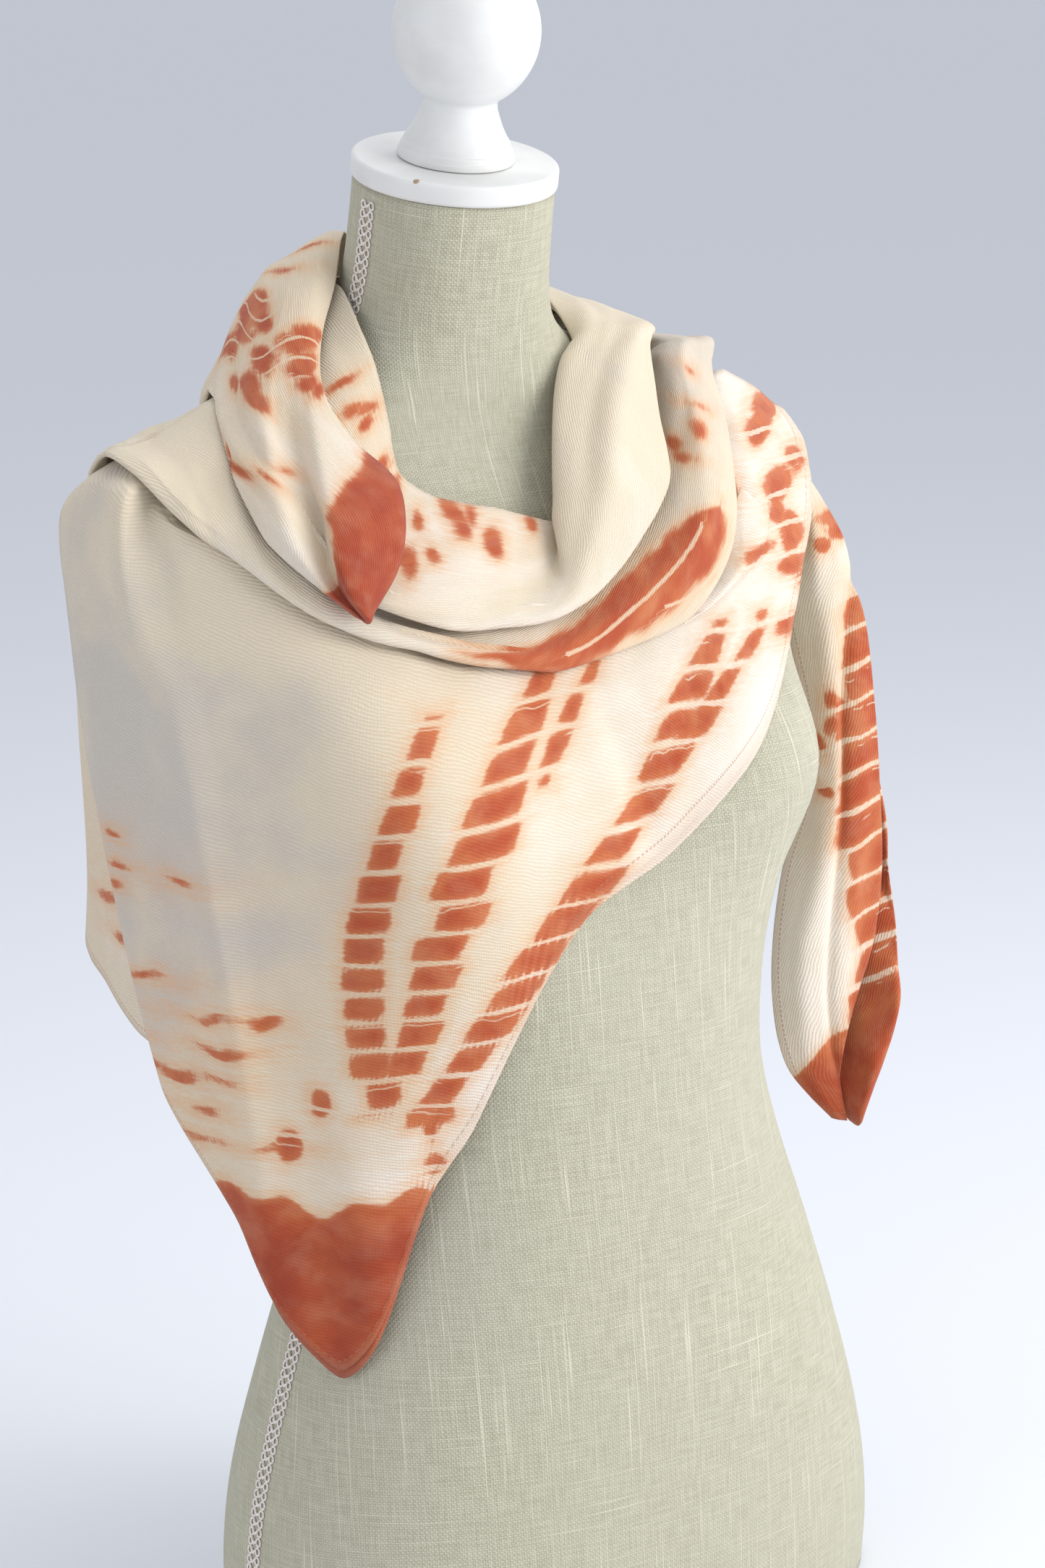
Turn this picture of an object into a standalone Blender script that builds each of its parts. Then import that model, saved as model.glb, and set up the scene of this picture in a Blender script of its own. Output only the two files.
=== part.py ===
"""A cashmere shawl wound round the neck and shoulders of a linen-covered dress form.

Metres, +Z up. The origin is the middle of the form's flat underside. The side that the
shawl's point hangs on faces -Y, and the form itself is turned a little to the right of it.
"""

import math

import bmesh
import bpy
import numpy as np
from mathutils import Matrix, Vector
from mathutils.bvhtree import BVHTree

MM = 0.001

# The dress form
FORM_TURN = math.radians(33)  # the form's own front, turned from -Y towards +X
NECK_LEAN = math.radians(13.5)  # the neck leans forward of the torso
TORSO_SEGMENTS = 40
TURNED_SEGMENTS = 32
CAP_RADIUS = 52 * MM
CAP_THICKNESS = 11 * MM
CAP_EDGE = 1.5 * MM
FIT = 0.3 * MM  # between pieces that touch

# The shawl
WALL = 1.5 * MM  # the cloth as a solid
LAYER_GAP = 1.0 * MM  # between one layer and the next
OFF_FORM = 2.0 * MM  # from the form to the middle of the cloth's wall
FOLD_RADIUS = 2.8 * MM  # where an edge is folded under
FOLD_RETURN = 9 * MM  # how far the folded-under cloth runs back
FLAT_FOLD_AT = (-187, -60, 612)  # on the shoulder, where the fold is pressed flat
FLAT_FOLD_REACH = 70 * MM
UNDER_PEEK = 5  # millimetres the under layer shows past the front one
SETTLE_ROUNDS = 24
BESIDE = 3 * MM  # a point further than this past a layer's edge is clear of it
DEEPEST = 15 * MM  # a point further than this below a layer lies on the form's other side

# Looks: colour and roughness
LINEN = ((0.42, 0.40, 0.32), 0.9)
PAINTED_WOOD = ((0.85, 0.85, 0.83), 0.45)
CASHMERE = ((0.82, 0.74, 0.62), 0.85)


def collection(name):
    made = bpy.data.collections.new(name)
    bpy.context.scene.collection.children.link(made)
    return made


def material(name, look):
    colour, roughness = look
    made = bpy.data.materials.new(name)
    made.use_nodes = True
    shader = made.node_tree.nodes["Principled BSDF"]
    shader.inputs["Base Color"].default_value = (*colour, 1)
    shader.inputs["Roughness"].default_value = roughness
    return made


def add_object(name, mesh, look, home):
    made = bpy.data.objects.new(name, mesh)
    mesh.materials.append(material(name, look))
    mesh.shade_smooth()
    home.objects.link(made)
    return made


# Rings of the torso and neck, from the underside up: the height of the ring's middle, how far
# that middle lies in front of the form's axis, half the width, the depth before and behind the
# middle, and how far the ring leans forward, in millimetres and degrees.
RINGS = (
    # height, forward, half_width, front, back, lean
    (0, 4, 178, 110, 117, 0),
    (28, 4, 181, 112, 121, 0),
    (62, 4, 180, 113, 121, 0),
    (102, 4, 173, 113, 117, 0),
    (150, 6, 159, 111, 108, 0),
    (205, 9, 141, 105, 97, 0),
    (255, 12, 124, 97, 88, 0),
    (295, 13, 116, 92, 85, 0),
    (335, 11, 120, 92, 90, 0),
    (380, 5, 133, 94, 97, 0),
    (425, -3, 146, 93, 101, 0),
    (465, -12, 160, 88, 101, 0),
    (505, -21, 174, 80, 99, 0),
    (540, -29, 186, 71, 95, 0),
    (570, -36, 193, 62, 87, 1),
    (594, -41, 191, 55, 77, 2),
    (612, -45, 174, 51, 68, 4),
    (626, -47, 148, 49, 61, 6),
    (638, -49, 118, 49, 56, 8),
    (649, -50, 90, 50, 53, 10),
    (661, -50, 69, 50, 51, 12),
    (676, -48, 56, 49, 50, 13.5),
    (696, -43.5, 51, 48.5, 49, 13.5),
    (719, -38, 49.5, 48.5, 48.5, 13.5),
    (742, -32.5, 49, 48.5, 48.5, 13.5),
)

# The bust is a soft swell on each side of the front.
BUST_HEIGHT = 446 * MM
BUST_SPREAD = 52 * MM
BUST_ANGLE = math.radians(37)
BUST_WIDTH = math.radians(23)
BUST_SWELL = 32 * MM
ROUNDNESS = 2.25  # 2 is an ellipse, more is squarer


def power(value, exponent):
    return math.copysign(abs(value) ** exponent, value)


def form_to_row(point):
    """A point in the form's own axes, front at -Y, turned to where the form faces."""
    return Matrix.Rotation(FORM_TURN, 3, "Z") @ point


def ring_point(ring, angle):
    """The point of a ring at an angle from the form's front, towards its left side."""
    height, forward, half_width, front, back, lean = ring
    depth = front if math.cos(angle) > 0 else back
    side = half_width * MM * power(math.sin(angle), 2 / ROUNDNESS)
    ahead = depth * MM * power(math.cos(angle), 2 / ROUNDNESS)
    near_bust = math.exp(-(((height * MM - BUST_HEIGHT) / BUST_SPREAD) ** 2))
    off_centre = (abs(angle) - BUST_ANGLE) / BUST_WIDTH
    swell = BUST_SWELL * near_bust * math.exp(-(off_centre**2))
    side += swell * math.sin(angle)
    ahead += swell * math.cos(angle)
    middle = Vector((0, -forward * MM, height * MM))
    tilt = Matrix.Rotation(math.radians(lean), 3, "X")
    return form_to_row(middle + tilt @ Vector((side, -ahead, 0)))


def add_torso(look, home):
    """Torso and neck in one: rings joined by faces, closed flat at the foot and the cap."""
    cage = bmesh.new()
    loops = []
    for ring in RINGS:
        angles = [2 * math.pi * i / TORSO_SEGMENTS for i in range(TORSO_SEGMENTS)]
        angles = [a if a <= math.pi else a - 2 * math.pi for a in angles]
        loops.append([cage.verts.new(ring_point(ring, a)) for a in angles])
    for low, high in zip(loops, loops[1:]):
        for i in range(TORSO_SEGMENTS):
            j = (i + 1) % TORSO_SEGMENTS
            cage.faces.new((low[i], low[j], high[j], high[i]))
    cage.faces.new(reversed(loops[0]))
    cage.faces.new(loops[-1])
    mesh = bpy.data.meshes.new("form_torso")
    cage.to_mesh(mesh)
    cage.free()
    return add_object("form_torso", mesh, look, home)

# The finial's turned foot, from the cap up: radius and height in millimetres.
FINIAL_FOOT = (
    # radius, height
    (29.3, 0),
    (29.3, 3.2),
    (28.6, 3.4),
    (28.2, 6.4),
    (27.2, 6.8),
    (26.6, 9.6),
    (24.6, 12.5),
    (22.2, 17),
    (20.2, 22),
    (18.8, 26),
    (18.4, 29.5),
)
FINIAL_BALL_HEIGHT = 64
FINIAL_BALL_RADIUS = 37
FINIAL_BALL_RINGS = 14


# The shawl's stretches. Each row is a section from the side next to the neck, or the top,
# to the side away from it; x, y and z in millimetres.
OUTER_COWL = (
    # upper x, y, z; middle; crest; edge
    ((-121, 7, 648), (-165, -35, 621), (-178, -56, 615), (-181, -62, 612)),
    ((-106, -31, 640), (-146, -72, 616), (-153, -98, 604), (-155, -100, 599)),
    ((-93, -65, 620), (-121, -95, 597), (-129, -106, 587), (-131, -107, 581)),
    ((-77, -86, 582), (-86, -102, 566), (-90, -111, 557), (-92, -112, 551)),
    ((-54, -82, 564), (-61, -98, 547), (-63, -108, 540), (-64, -108, 534)),
    ((-28, -74, 551), (-32, -90, 536), (-33, -101, 528), (-34, -100, 520)),
    ((-1, -62, 546), (-3, -82, 530), (-3, -92, 522), (-4, -89, 512)),
    ((16, -50, 547), (17, -72, 530), (18, -82, 521), (18, -78, 511)),
    ((27, -36, 551), (32, -58, 535), (36, -70, 526), (38, -66, 514)),
    ((40, -16, 562), (50, -40, 545), (59, -54, 534), (64, -48, 519)),
    ((54, 4, 573), (66, -20, 558), (79, -36, 545), (90, -28, 527)),
    ((62, 20, 587), (79, 0, 576), (97, -14, 566), (112, -2, 555)),
    ((71, 44, 609), (86, 24, 601), (102, 14, 595), (116, 32, 584)),
    ((74, 60, 629), (86, 44, 627), (99, 36, 623), (114, 58, 612)),
    ((76, 78, 641), (84, 66, 645), (96, 60, 643), (109, 82, 630)),
    ((76, 98, 646), (84, 90, 651), (94, 88, 651), (105, 104, 637)),
    ((-5, 121, 662), (6, 145, 660), (23, 170, 640), (51, 179, 602)),
    ((-48, 102, 655), (-47, 127, 640), (-43, 149, 610), (-31, 161, 572)),
    ((-81, 79, 652), (-92, 95, 636), (-102, 111, 602), (-108, 116, 562)),
    ((-98, 50, 655), (-128, 58, 634), (-148, 63, 604), (-162, 66, 572)),
    ((-101, 18, 660), (-139, 5, 638), (-168, -6, 617), (-190, -16, 592)),
)

INNER_COWL = (
    # inner x, y, z; valley; crest; middle; edge
    ((-60, 85, 692), (-65, 91, 686), (-70, 97, 678), (-76, 102, 669), (-81, 106, 658)),
    ((-82, 45, 694), (-93, 48, 687), (-104, 50, 678), (-112, 51, 669), (-118, 52, 660)),
    ((-75, 16, 691), (-88, 20, 687), (-102, 26, 680), (-109, 30, 675), (-114, 34, 669)),
    ((-67, -8, 675), (-84, -8, 669), (-102, -14, 660), (-111, -12, 655), (-117, -8, 650)),
    ((-60, -21, 657), (-81, -40, 648), (-102, -52, 639), (-113, -54, 632), (-121, -50, 624)),
    ((-54, -37, 628), (-78, -72, 617), (-98, -90, 603), (-104, -94, 597), (-109, -92, 592)),
    ((-50, -48, 607), (-67, -88, 583), (-77, -106, 569), (-80, -110, 564), (-82, -108, 559)),
    ((-32, -48, 594), (-32, -74, 573), (-33, -94, 557), (-33, -103, 547), (-33, -103, 540)),
    ((-4, -36, 586), (-4, -60, 564), (-4, -77, 550), (-5, -87, 542), (-5, -86, 535)),
    ((15, -28, 579), (15, -48, 557), (17, -64, 547), (19, -74, 540), (21, -72, 534)),
    ((25, -24, 576), (24, -38, 559), (27, -54, 553), (34, -61, 548), (43, -54, 542)),
    ((30, -16, 577), (28, -26, 571), (26, -38, 570), (42, -44, 566), (69, -20, 566)),
    ((35, -6, 588), (30, -14, 591), (26, -22, 595), (50, -26, 594), (84, 6, 588)),
    ((39, 16, 614), (34, 7, 619), (28, 0, 624), (53, -4, 624), (80, 26, 619)),
    ((41, 40, 636), (36, 32, 643), (32, 26, 649), (55, 22, 652), (77, 46, 652)),
    ((42, 62, 645), (39, 56, 652), (37, 52, 659), (54, 58, 667), (77, 74, 659)),
    ((-6, 108, 688), (-4, 117, 690), (-1, 130, 690), (8, 153, 672), (17, 173, 646)),
    ((-55, 129, 662), (-57, 135, 654), (-58, 144, 644), (-56, 157, 622), (-53, 166, 598)),
    ((-101, 111, 652), (-105, 114, 644), (-110, 117, 632), (-117, 120, 611), (-122, 120, 588)),
    ((-130, 83, 642), (-135, 84, 635), (-139, 86, 625), (-145, 87, 607), (-149, 87, 588)),
    ((-138, 62, 636), (-142, 62, 632), (-145, 62, 627), (-147, 62, 621), (-150, 61, 615)),
)

ROLL = (
    # crest x, y, z; ridge; valley; swell; outer; edge
    ((-8, 91, 676), (-7, 92, 672), (-7, 94, 668), (-7, 96, 664), (-7, 98, 658), (-8, 100, 652)),
    ((-38, 95, 702), (-38, 99, 702), (-39, 104, 698), (-40, 109, 692), (-41, 113, 684), (-41, 114, 676)),
    ((-71, 83, 710), (-76, 91, 712), (-83, 101, 707), (-90, 113, 697), (-98, 125, 680), (-99, 127, 663)),
    ((-75, 62, 715), (-82, 66, 715), (-90, 72, 712), (-99, 80, 706), (-110, 96, 693), (-138, 106, 630)),
    ((-79, 12, 694), (-87, 6, 698), (-95, 6, 698), (-103, 10, 697), (-124, 44, 688), (-155, 76, 608)),
    ((-86, -16, 670), (-91, -24, 671), (-99, -26, 672), (-110, -22, 672), (-135, 16, 666), (-152, 35, 628)),
    ((-84, -52, 647), (-91, -62, 644), (-101, -60, 642), (-113, -56, 644), (-137, -14, 643), (-142, 13, 638)),
    ((-71, -68, 627), (-87, -88, 621), (-98, -76, 618), (-112, -86, 623), (-133, -60, 624), (-128, -72, 617)),
    ((-51, -78, 608), (-82, -110, 597), (-90, -94, 594), (-106, -108, 601), (-124, -94, 606), (-120, -98, 602)),
    ((-47, -92, 590), (-79, -124, 581), (-85, -110, 578), (-98, -120, 582), (-111, -110, 585), (-108, -107, 581)),
    ((-51, -108, 570), (-74, -130, 564), (-78, -120, 562), (-86, -124, 565), (-93, -116, 567), (-91, -112, 565)),
    ((-64, -118, 550), (-65, -123, 547), (-67, -120, 546), (-69, -121, 548), (-73, -119, 550), (-72, -115, 550)),
)

FRONT = (
    # under x, y, z; crest; upper; middle; lower; hem
    ((99, 96, 623), (112, 112, 625), (121, 122, 620), (131, 130, 614), (140, 136, 609), (148, 140, 604)),
    ((101, 60, 609), (118, 72, 603), (130, 84, 601), (140, 94, 598), (148, 102, 596), (155, 108, 593)),
    ((106, 38, 586), (125, 50, 581), (135, 60, 576), (144, 70, 571), (152, 78, 567), (157, 84, 562)),
    ((107, 24, 564), (127, 34, 558), (135, 42, 553), (141, 50, 548), (147, 58, 544), (151, 64, 539)),
    ((100, 10, 548), (119, 20, 539), (126, 27, 533), (133, 35, 527), (140, 44, 521), (145, 50, 516)),
    ((88, -1, 535), (102, 0, 525), (112, 4, 516), (122, 8, 508), (130, 12, 501), (136, 22, 496)),
    ((71, -19, 528), (81, -22, 519), (93, -24, 506), (105, -26, 493), (114, -28, 482), (122, -16, 468)),
    ((52, -35, 525), (58, -41, 514), (71, -45, 497), (82, -49, 479), (94, -52, 460), (103, -51, 447)),
    ((29, -53, 522), (32, -60, 511), (41, -66, 487), (51, -71, 465), (60, -76, 440), (68, -78, 419)),
    ((11, -65, 520), (11, -76, 509), (16, -86, 484), (22, -96, 457), (27, -104, 430), (31, -105, 399)),
    ((-10, -78, 523), (-10, -89, 511), (-9, -114, 473), (-8, -131, 434), (-6, -128, 387), (-6, -122, 342)),
    ((-36, -88, 531), (-37, -99, 519), (-34, -132, 471), (-32, -144, 417), (-31, -133, 357), (-29, -123, 298)),
    ((-63, -92, 543), (-64, -103, 531), (-60, -137, 476), (-56, -143, 411), (-52, -133, 340), (-50, -123, 268)),
    ((-90, -93, 560), (-92, -102, 548), (-86, -131, 480), (-79, -134, 399), (-73, -130, 311), (-67, -127, 225)),
    ((-114, -93, 576), (-117, -100, 566), (-108, -119, 482), (-99, -123, 390), (-90, -127, 289), (-81, -130, 193)),
    ((-136, -92, 589), (-138, -98, 579), (-127, -110, 481), (-117, -114, 377), (-106, -119, 276), (-97, -123, 176)),
    ((-153, -89, 597), (-156, -94, 590), (-144, -105, 484), (-132, -111, 377), (-119, -116, 276), (-110, -122, 186)),
    ((-137, -68, 616), (-171, -85, 597), (-158, -104, 484), (-145, -112, 385), (-135, -114, 291), (-128, -116, 209)),
    ((-145, -60, 620), (-181, -93, 605), (-173, -92, 486), (-161, -98, 401), (-151, -102, 317), (-143, -104, 247)),
    ((-146, -43, 629), (-192, -76, 608), (-189, -80, 502), (-179, -84, 418), (-171, -86, 344), (-160, -90, 275)),
    ((-154, -31, 629), (-203, -60, 607), (-205, -64, 518), (-198, -68, 431), (-189, -70, 360), (-178, -74, 306)),
    ((-162, -19, 625), (-212, -46, 598), (-212, -52, 534), (-205, -58, 459), (-195, -60, 393), (-185, -64, 336)),
)

BACK = (
    # top x, y, z; upper; middle; lower; hem
    ((-162, -40, 624), (-197, -61, 598), (-196, -63, 505), (-187, -66, 412), (-175, -70, 323)),
    ((-169, -28, 621), (-207, -44, 595), (-209, -45, 503), (-202, -43, 417), (-194, -50, 332)),
    ((-171, -12, 617), (-209, -19, 588), (-215, -17, 507), (-215, -11, 427), (-212, -19, 352)),
    ((-160, 1, 624), (-204, 1, 585), (-210, 10, 510), (-216, 13, 437), (-223, 10, 368)),
    ((-144, 16, 630), (-188, 21, 592), (-201, 32, 522), (-208, 38, 457), (-210, 40, 398)),
    ((-138, 37, 628), (-164, 51, 575), (-171, 58, 520), (-172, 63, 470), (-170, 66, 422)),
    ((-93, 78, 640), (-109, 98, 590), (-119, 109, 545), (-122, 111, 500), (-122, 111, 455)),
    ((-34, 116, 640), (-43, 136, 600), (-48, 142, 562), (-52, 142, 526), (-57, 139, 492)),
    ((21, 142, 627), (15, 160, 602), (11, 170, 576), (8, 172, 552), (3, 171, 528)),
    ((77, 150, 612), (76, 162, 604), (75, 171, 594), (74, 177, 582), (72, 180, 568)),
    ((105, 147, 612), (105, 154, 606), (105, 161, 600), (104, 168, 592), (104, 172, 584)),
)

RIDGE = (
    # inner x, y, z; crest; outer
    ((106, 44, 574), (116, 46, 574), (123, 56, 573)),
    ((108, 22, 560), (120, 24, 558), (127, 40, 558)),
    ((109, 6, 547), (119, 8, 546), (125, 26, 546)),
    ((102, -8, 537), (111, -6, 537), (117, 12, 538)),
    ((91, -18, 527), (99, -14, 527), (105, 2, 529)),
    ((76, -26, 521), (85, -22, 520), (89, -8, 522)),
)

END_INNER = (
    # left x, y, z; middle; right
    ((147, 122, 586), (152, 125, 582), (156, 130, 577)),
    ((152, 106, 551), (161, 100, 551), (172, 112, 548)),
    ((145, 104, 505), (162, 92, 509), (182, 106, 503)),
    ((153, 104, 458), (168, 94, 462), (186, 104, 455)),
    ((155, 104, 411), (170, 94, 415), (188, 104, 406)),
    ((141, 100, 370), (161, 86, 370), (189, 100, 363)),
    ((133, 92, 328), (150, 80, 329), (184, 96, 321)),
    ((132, 88, 289), (148, 80, 287), (171, 88, 284)),
    ((139, 86, 258), (152, 82, 254), (166, 84, 254)),
    ((161, 84, 231), (165, 83, 230), (169, 84, 229)),
)

END_OUTER = (
    # left x, y, z; middle; right; behind
    ((72, 73, 634), (62, 88, 644), (45, 115, 642), (22, 150, 600)),
    ((104, 96, 627), (97, 108, 636), (78, 137, 634), (54, 174, 584)),
    ((135, 112, 609), (131, 128, 614), (113, 157, 609), (88, 188, 560)),
    ((156, 102, 587), (162, 114, 581), (169, 130, 572), (120, 190, 538)),
    ((168, 86, 530), (174, 88, 529), (185, 104, 523), (145, 166, 508)),
    ((176, 78, 478), (183, 78, 478), (193, 94, 472), (164, 147, 462)),
    ((174, 72, 425), (185, 72, 425), (198, 90, 418), (186, 124, 410)),
    ((164, 68, 372), (184, 66, 370), (202, 86, 364), (188, 118, 355)),
    ((158, 66, 326), (182, 64, 323), (204, 84, 317), (187, 112, 309)),
    ((156, 68, 286), (179, 68, 282), (195, 82, 278), (181, 104, 271)),
    ((161, 74, 252), (175, 72, 250), (184, 80, 250), (175, 96, 245)),
    ((171, 80, 230), (175, 79, 227), (177, 81, 231), (175, 88, 229)),
)


def curve(points, steps, closed=False):
    """A smooth curve through the points, with the same number of steps to each gap."""
    points = np.asarray(points, float)
    count = len(points)
    gaps = count if closed else count - 1
    made = []
    for gap in range(gaps):
        if closed:
            before, start, end, after = (points[(gap + k) % count] for k in (-1, 0, 1, 2))
        else:
            start, end = points[gap], points[gap + 1]
            before = points[gap - 1] if gap > 0 else 2 * start - end
            after = points[gap + 2] if gap + 2 < count else 2 * end - start
        knots = [0.0]
        for a, b in ((before, start), (start, end), (end, after)):
            knots.append(knots[-1] + max(np.linalg.norm(b - a), 1e-6) ** 0.5)
        t0, t1, t2, t3 = knots
        for step in range(steps):
            t = t1 + (t2 - t1) * step / steps
            a1 = (before * (t1 - t) + start * (t - t0)) / (t1 - t0)
            a2 = (start * (t2 - t) + end * (t - t1)) / (t2 - t1)
            a3 = (end * (t3 - t) + after * (t - t2)) / (t3 - t2)
            b1 = (a1 * (t2 - t) + a2 * (t - t0)) / (t2 - t0)
            b2 = (a2 * (t3 - t) + a3 * (t - t1)) / (t3 - t1)
            made.append((b1 * (t2 - t) + b2 * (t - t1)) / (t2 - t1))
    if not closed:
        made.append(points[-1])
    return np.array(made)


def loft(sections, along, across, closed=False):
    """A grid of points, in metres, through sections given in millimetres."""
    rows = np.array([curve(section, across) for section in sections])
    columns = [curve(rows[:, j], along, closed) for j in range(rows.shape[1])]
    return np.stack(columns, axis=1) * MM


def grid_normals(grid, closed=False):
    """Unit normals of a grid, facing away from the form."""
    if closed:
        along = np.roll(grid, -1, 0) - np.roll(grid, 1, 0)
    else:
        along = np.gradient(grid, axis=0)
    normals = np.cross(along, np.gradient(grid, axis=1))
    normals /= np.maximum(np.linalg.norm(normals, axis=2, keepdims=True), 1e-12)
    outward = grid - np.array([-0.02, 0.03, 0])
    outward[..., 2] = 0
    if (normals * outward).sum() < 0:
        normals = -normals
    return normals


def smoothed(field, closed=False):
    """A grid of vectors, each averaged with the ones beside it."""
    padded = np.concatenate([field[:1], field, field[-1:]])
    if closed:
        padded = np.concatenate([field[-1:], field, field[:1]])
    along = (padded[:-2] + 2 * padded[1:-1] + padded[2:]) / 4
    padded = np.concatenate([along[:, :1], along, along[:, -1:]], axis=1)
    return (padded[:, :-2] + 2 * padded[:, 1:-1] + padded[:, 2:]) / 4


def surface(grid, closed=False):
    """A search tree over a grid of points, with its faces turned away from the form."""
    rows, columns = grid.shape[:2]
    normals = grid_normals(grid, closed)
    faces = []
    for i in range(rows if closed else rows - 1):
        for j in range(columns - 1):
            k = (i + 1) % rows
            face = (i * columns + j, k * columns + j, k * columns + j + 1, i * columns + j + 1)
            faces.append(face)
    flat = grid.reshape(-1, 3)
    a, b, c, d = (flat[[face[k] for face in faces]] for k in range(4))
    facing = np.cross(c - a, d - b)
    wanted = np.array([normals.reshape(-1, 3)[face[0]] for face in faces])
    if (facing * wanted).sum() < 0:
        faces = [tuple(reversed(face)) for face in faces]
    return BVHTree.FromPolygons([tuple(p) for p in flat], faces)


def between(grid, closed=False):
    """The grid with a point added halfway along every side and in the middle of every face."""
    if closed:
        grid = np.concatenate([grid, grid[:1]])
    for axis in (0, 1):
        grid = np.moveaxis(grid, axis, 0)
        finer = np.repeat(grid, 2, axis=0)[:-1]
        finer[1::2] = (grid[:-1] + grid[1:]) / 2
        grid = np.moveaxis(finer, 0, axis)
    return grid[:-1] if closed else grid


def settle(grid, below, clearance, closed=False, rounds=SETTLE_ROUNDS, free=0):
    """Lift a grid of cloth off what it lies on, and spread the lift so that it stays smooth.

    below is a list of (search tree, least distance); clearance is added to each distance,
    with one value for each point of the grid. The first `free` rows, which are tucked inside
    the lower layers, keep off the form alone.
    """
    extra = between(clearance[..., None], closed)[..., 0]
    for turn in range(rounds):
        fine = between(grid, closed)
        lifts = np.zeros_like(fine)
        for i in range(fine.shape[0]):
            trees = below[:1] if i < 2 * free else below
            for j in range(fine.shape[1]):
                point = Vector(fine[i, j])
                for tree, least in trees:
                    near, normal, _, distance = tree.find_nearest(point)
                    height = (point - near).dot(normal)
                    beside = math.sqrt(max(distance**2 - height**2, 0))
                    lack = least + extra[i, j] - height
                    if lack > 0 and beside < BESIDE and height > -DEEPEST:
                        point = point + normal * lack
                lifts[i, j] = point - Vector(fine[i, j])
        moves = lifts[::2, ::2].copy()
        for di in (-1, 0, 1):
            for dj in (-1, 0, 1):
                shifted = np.roll(lifts, (di, dj), (0, 1))
                if di and not closed:
                    shifted[0 if di > 0 else -1] = 0
                if dj:
                    shifted[:, 0 if dj > 0 else -1] = 0
                shifted = shifted[::2, ::2]
                larger = (shifted**2).sum(2) > (moves**2).sum(2)
                moves[larger] = shifted[larger]
        if turn < rounds - 6:
            moves = moves * 0.4 + smoothed(moves, closed) * 0.6
        grid = grid + moves
    return grid


def fold_sizes(grid):
    """How full the folded edge is at each section: flat on the shoulder, round elsewhere."""
    away = np.linalg.norm(grid[:, -1] - np.array(FLAT_FOLD_AT) * MM, axis=1)
    return np.clip(away / FLAT_FOLD_REACH, 0.45, 1)


def fold_room(grid):
    """The extra height that the folded-under cloth needs beneath each point."""
    lengths = np.linalg.norm(np.diff(grid, axis=1), axis=2)
    to_edge = np.zeros(grid.shape[:2])
    to_edge[:, :-1] = np.cumsum(lengths[:, ::-1], axis=1)[:, ::-1]
    near = np.clip((FOLD_RETURN + 10 * MM - to_edge) / (8 * MM), 0, 1)
    return (2 * FOLD_RADIUS * fold_sizes(grid) + 0.4 * MM)[:, None] * near


def fold_under(grid, closed=False):
    """Add columns past the last one that turn the edge under and run back beneath the cloth."""
    normals = smoothed(smoothed(grid_normals(grid, closed), closed), closed)[:, -1]
    normals /= np.linalg.norm(normals, axis=1, keepdims=True)
    steps = np.diff(grid, axis=1)
    ahead = smoothed(smoothed(steps, closed), closed)[:, -1]
    ahead /= np.maximum(np.linalg.norm(ahead, axis=1, keepdims=True), 1e-12)
    edge = grid[:, -1]
    radius = (FOLD_RADIUS * fold_sizes(grid))[:, None]
    added = []
    for angle in (math.pi / 3, 2 * math.pi / 3, math.pi):
        added.append(edge + radius * (ahead * math.sin(angle) - normals * (1 - math.cos(angle))))
    added.append(added[-1] - ahead * FOLD_RETURN)
    return np.concatenate([grid, np.stack(added, axis=1)], axis=1)


def sheet(name, grid, look, home, closed=False):
    """A wall of cloth: the grid's surface, made solid with the grid in its middle."""
    rows, columns = grid.shape[:2]
    made = bmesh.new()
    points = [[made.verts.new(point) for point in row] for row in grid]
    for i in range(rows if closed else rows - 1):
        k = (i + 1) % rows
        for j in range(columns - 1):
            corners = (points[i][j], points[k][j], points[k][j + 1], points[i][j + 1])
            made.faces.new(corners)
    bmesh.ops.triangulate(made, faces=made.faces)
    mesh = bpy.data.meshes.new(name)
    made.to_mesh(mesh)
    made.free()
    cloth = add_object(name, mesh, look, home)
    wall = cloth.modifiers.new("Wall", "SOLIDIFY")
    wall.thickness = WALL
    wall.offset = 0
    return cloth


def turned(name, profile, look, home):
    """A turned piece on the neck's leaning axis, from (radius, height) pairs, top first.

    Heights are measured from the top ring of the neck, along the axis.
    """
    height, forward, *_ = RINGS[-1]
    mesh = bpy.data.meshes.new(name)
    points = [(radius, 0, above) for radius, above in profile]
    mesh.from_pydata(points, [(k, k + 1) for k in range(len(points) - 1)], [])
    piece = add_object(name, mesh, look, home)
    piece.location = form_to_row(Vector((0, -forward * MM, height * MM)))
    piece.rotation_euler = (NECK_LEAN, 0, FORM_TURN)
    turning = piece.modifiers.new("Turning", "SCREW")
    turning.axis = "Z"
    turning.angle = 2 * math.pi
    turning.steps = TURNED_SEGMENTS
    turning.render_steps = TURNED_SEGMENTS
    turning.use_merge_vertices = True
    turning.merge_threshold = 0.00005
    return piece


def peek(row):
    """A panel row's last point, moved on past the hem by as much as the under layer shows."""
    before, last = np.array(row[-2], float), np.array(row[-1], float)
    return tuple(last + (last - before) / np.linalg.norm(last - before) * UNDER_PEEK)


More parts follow.
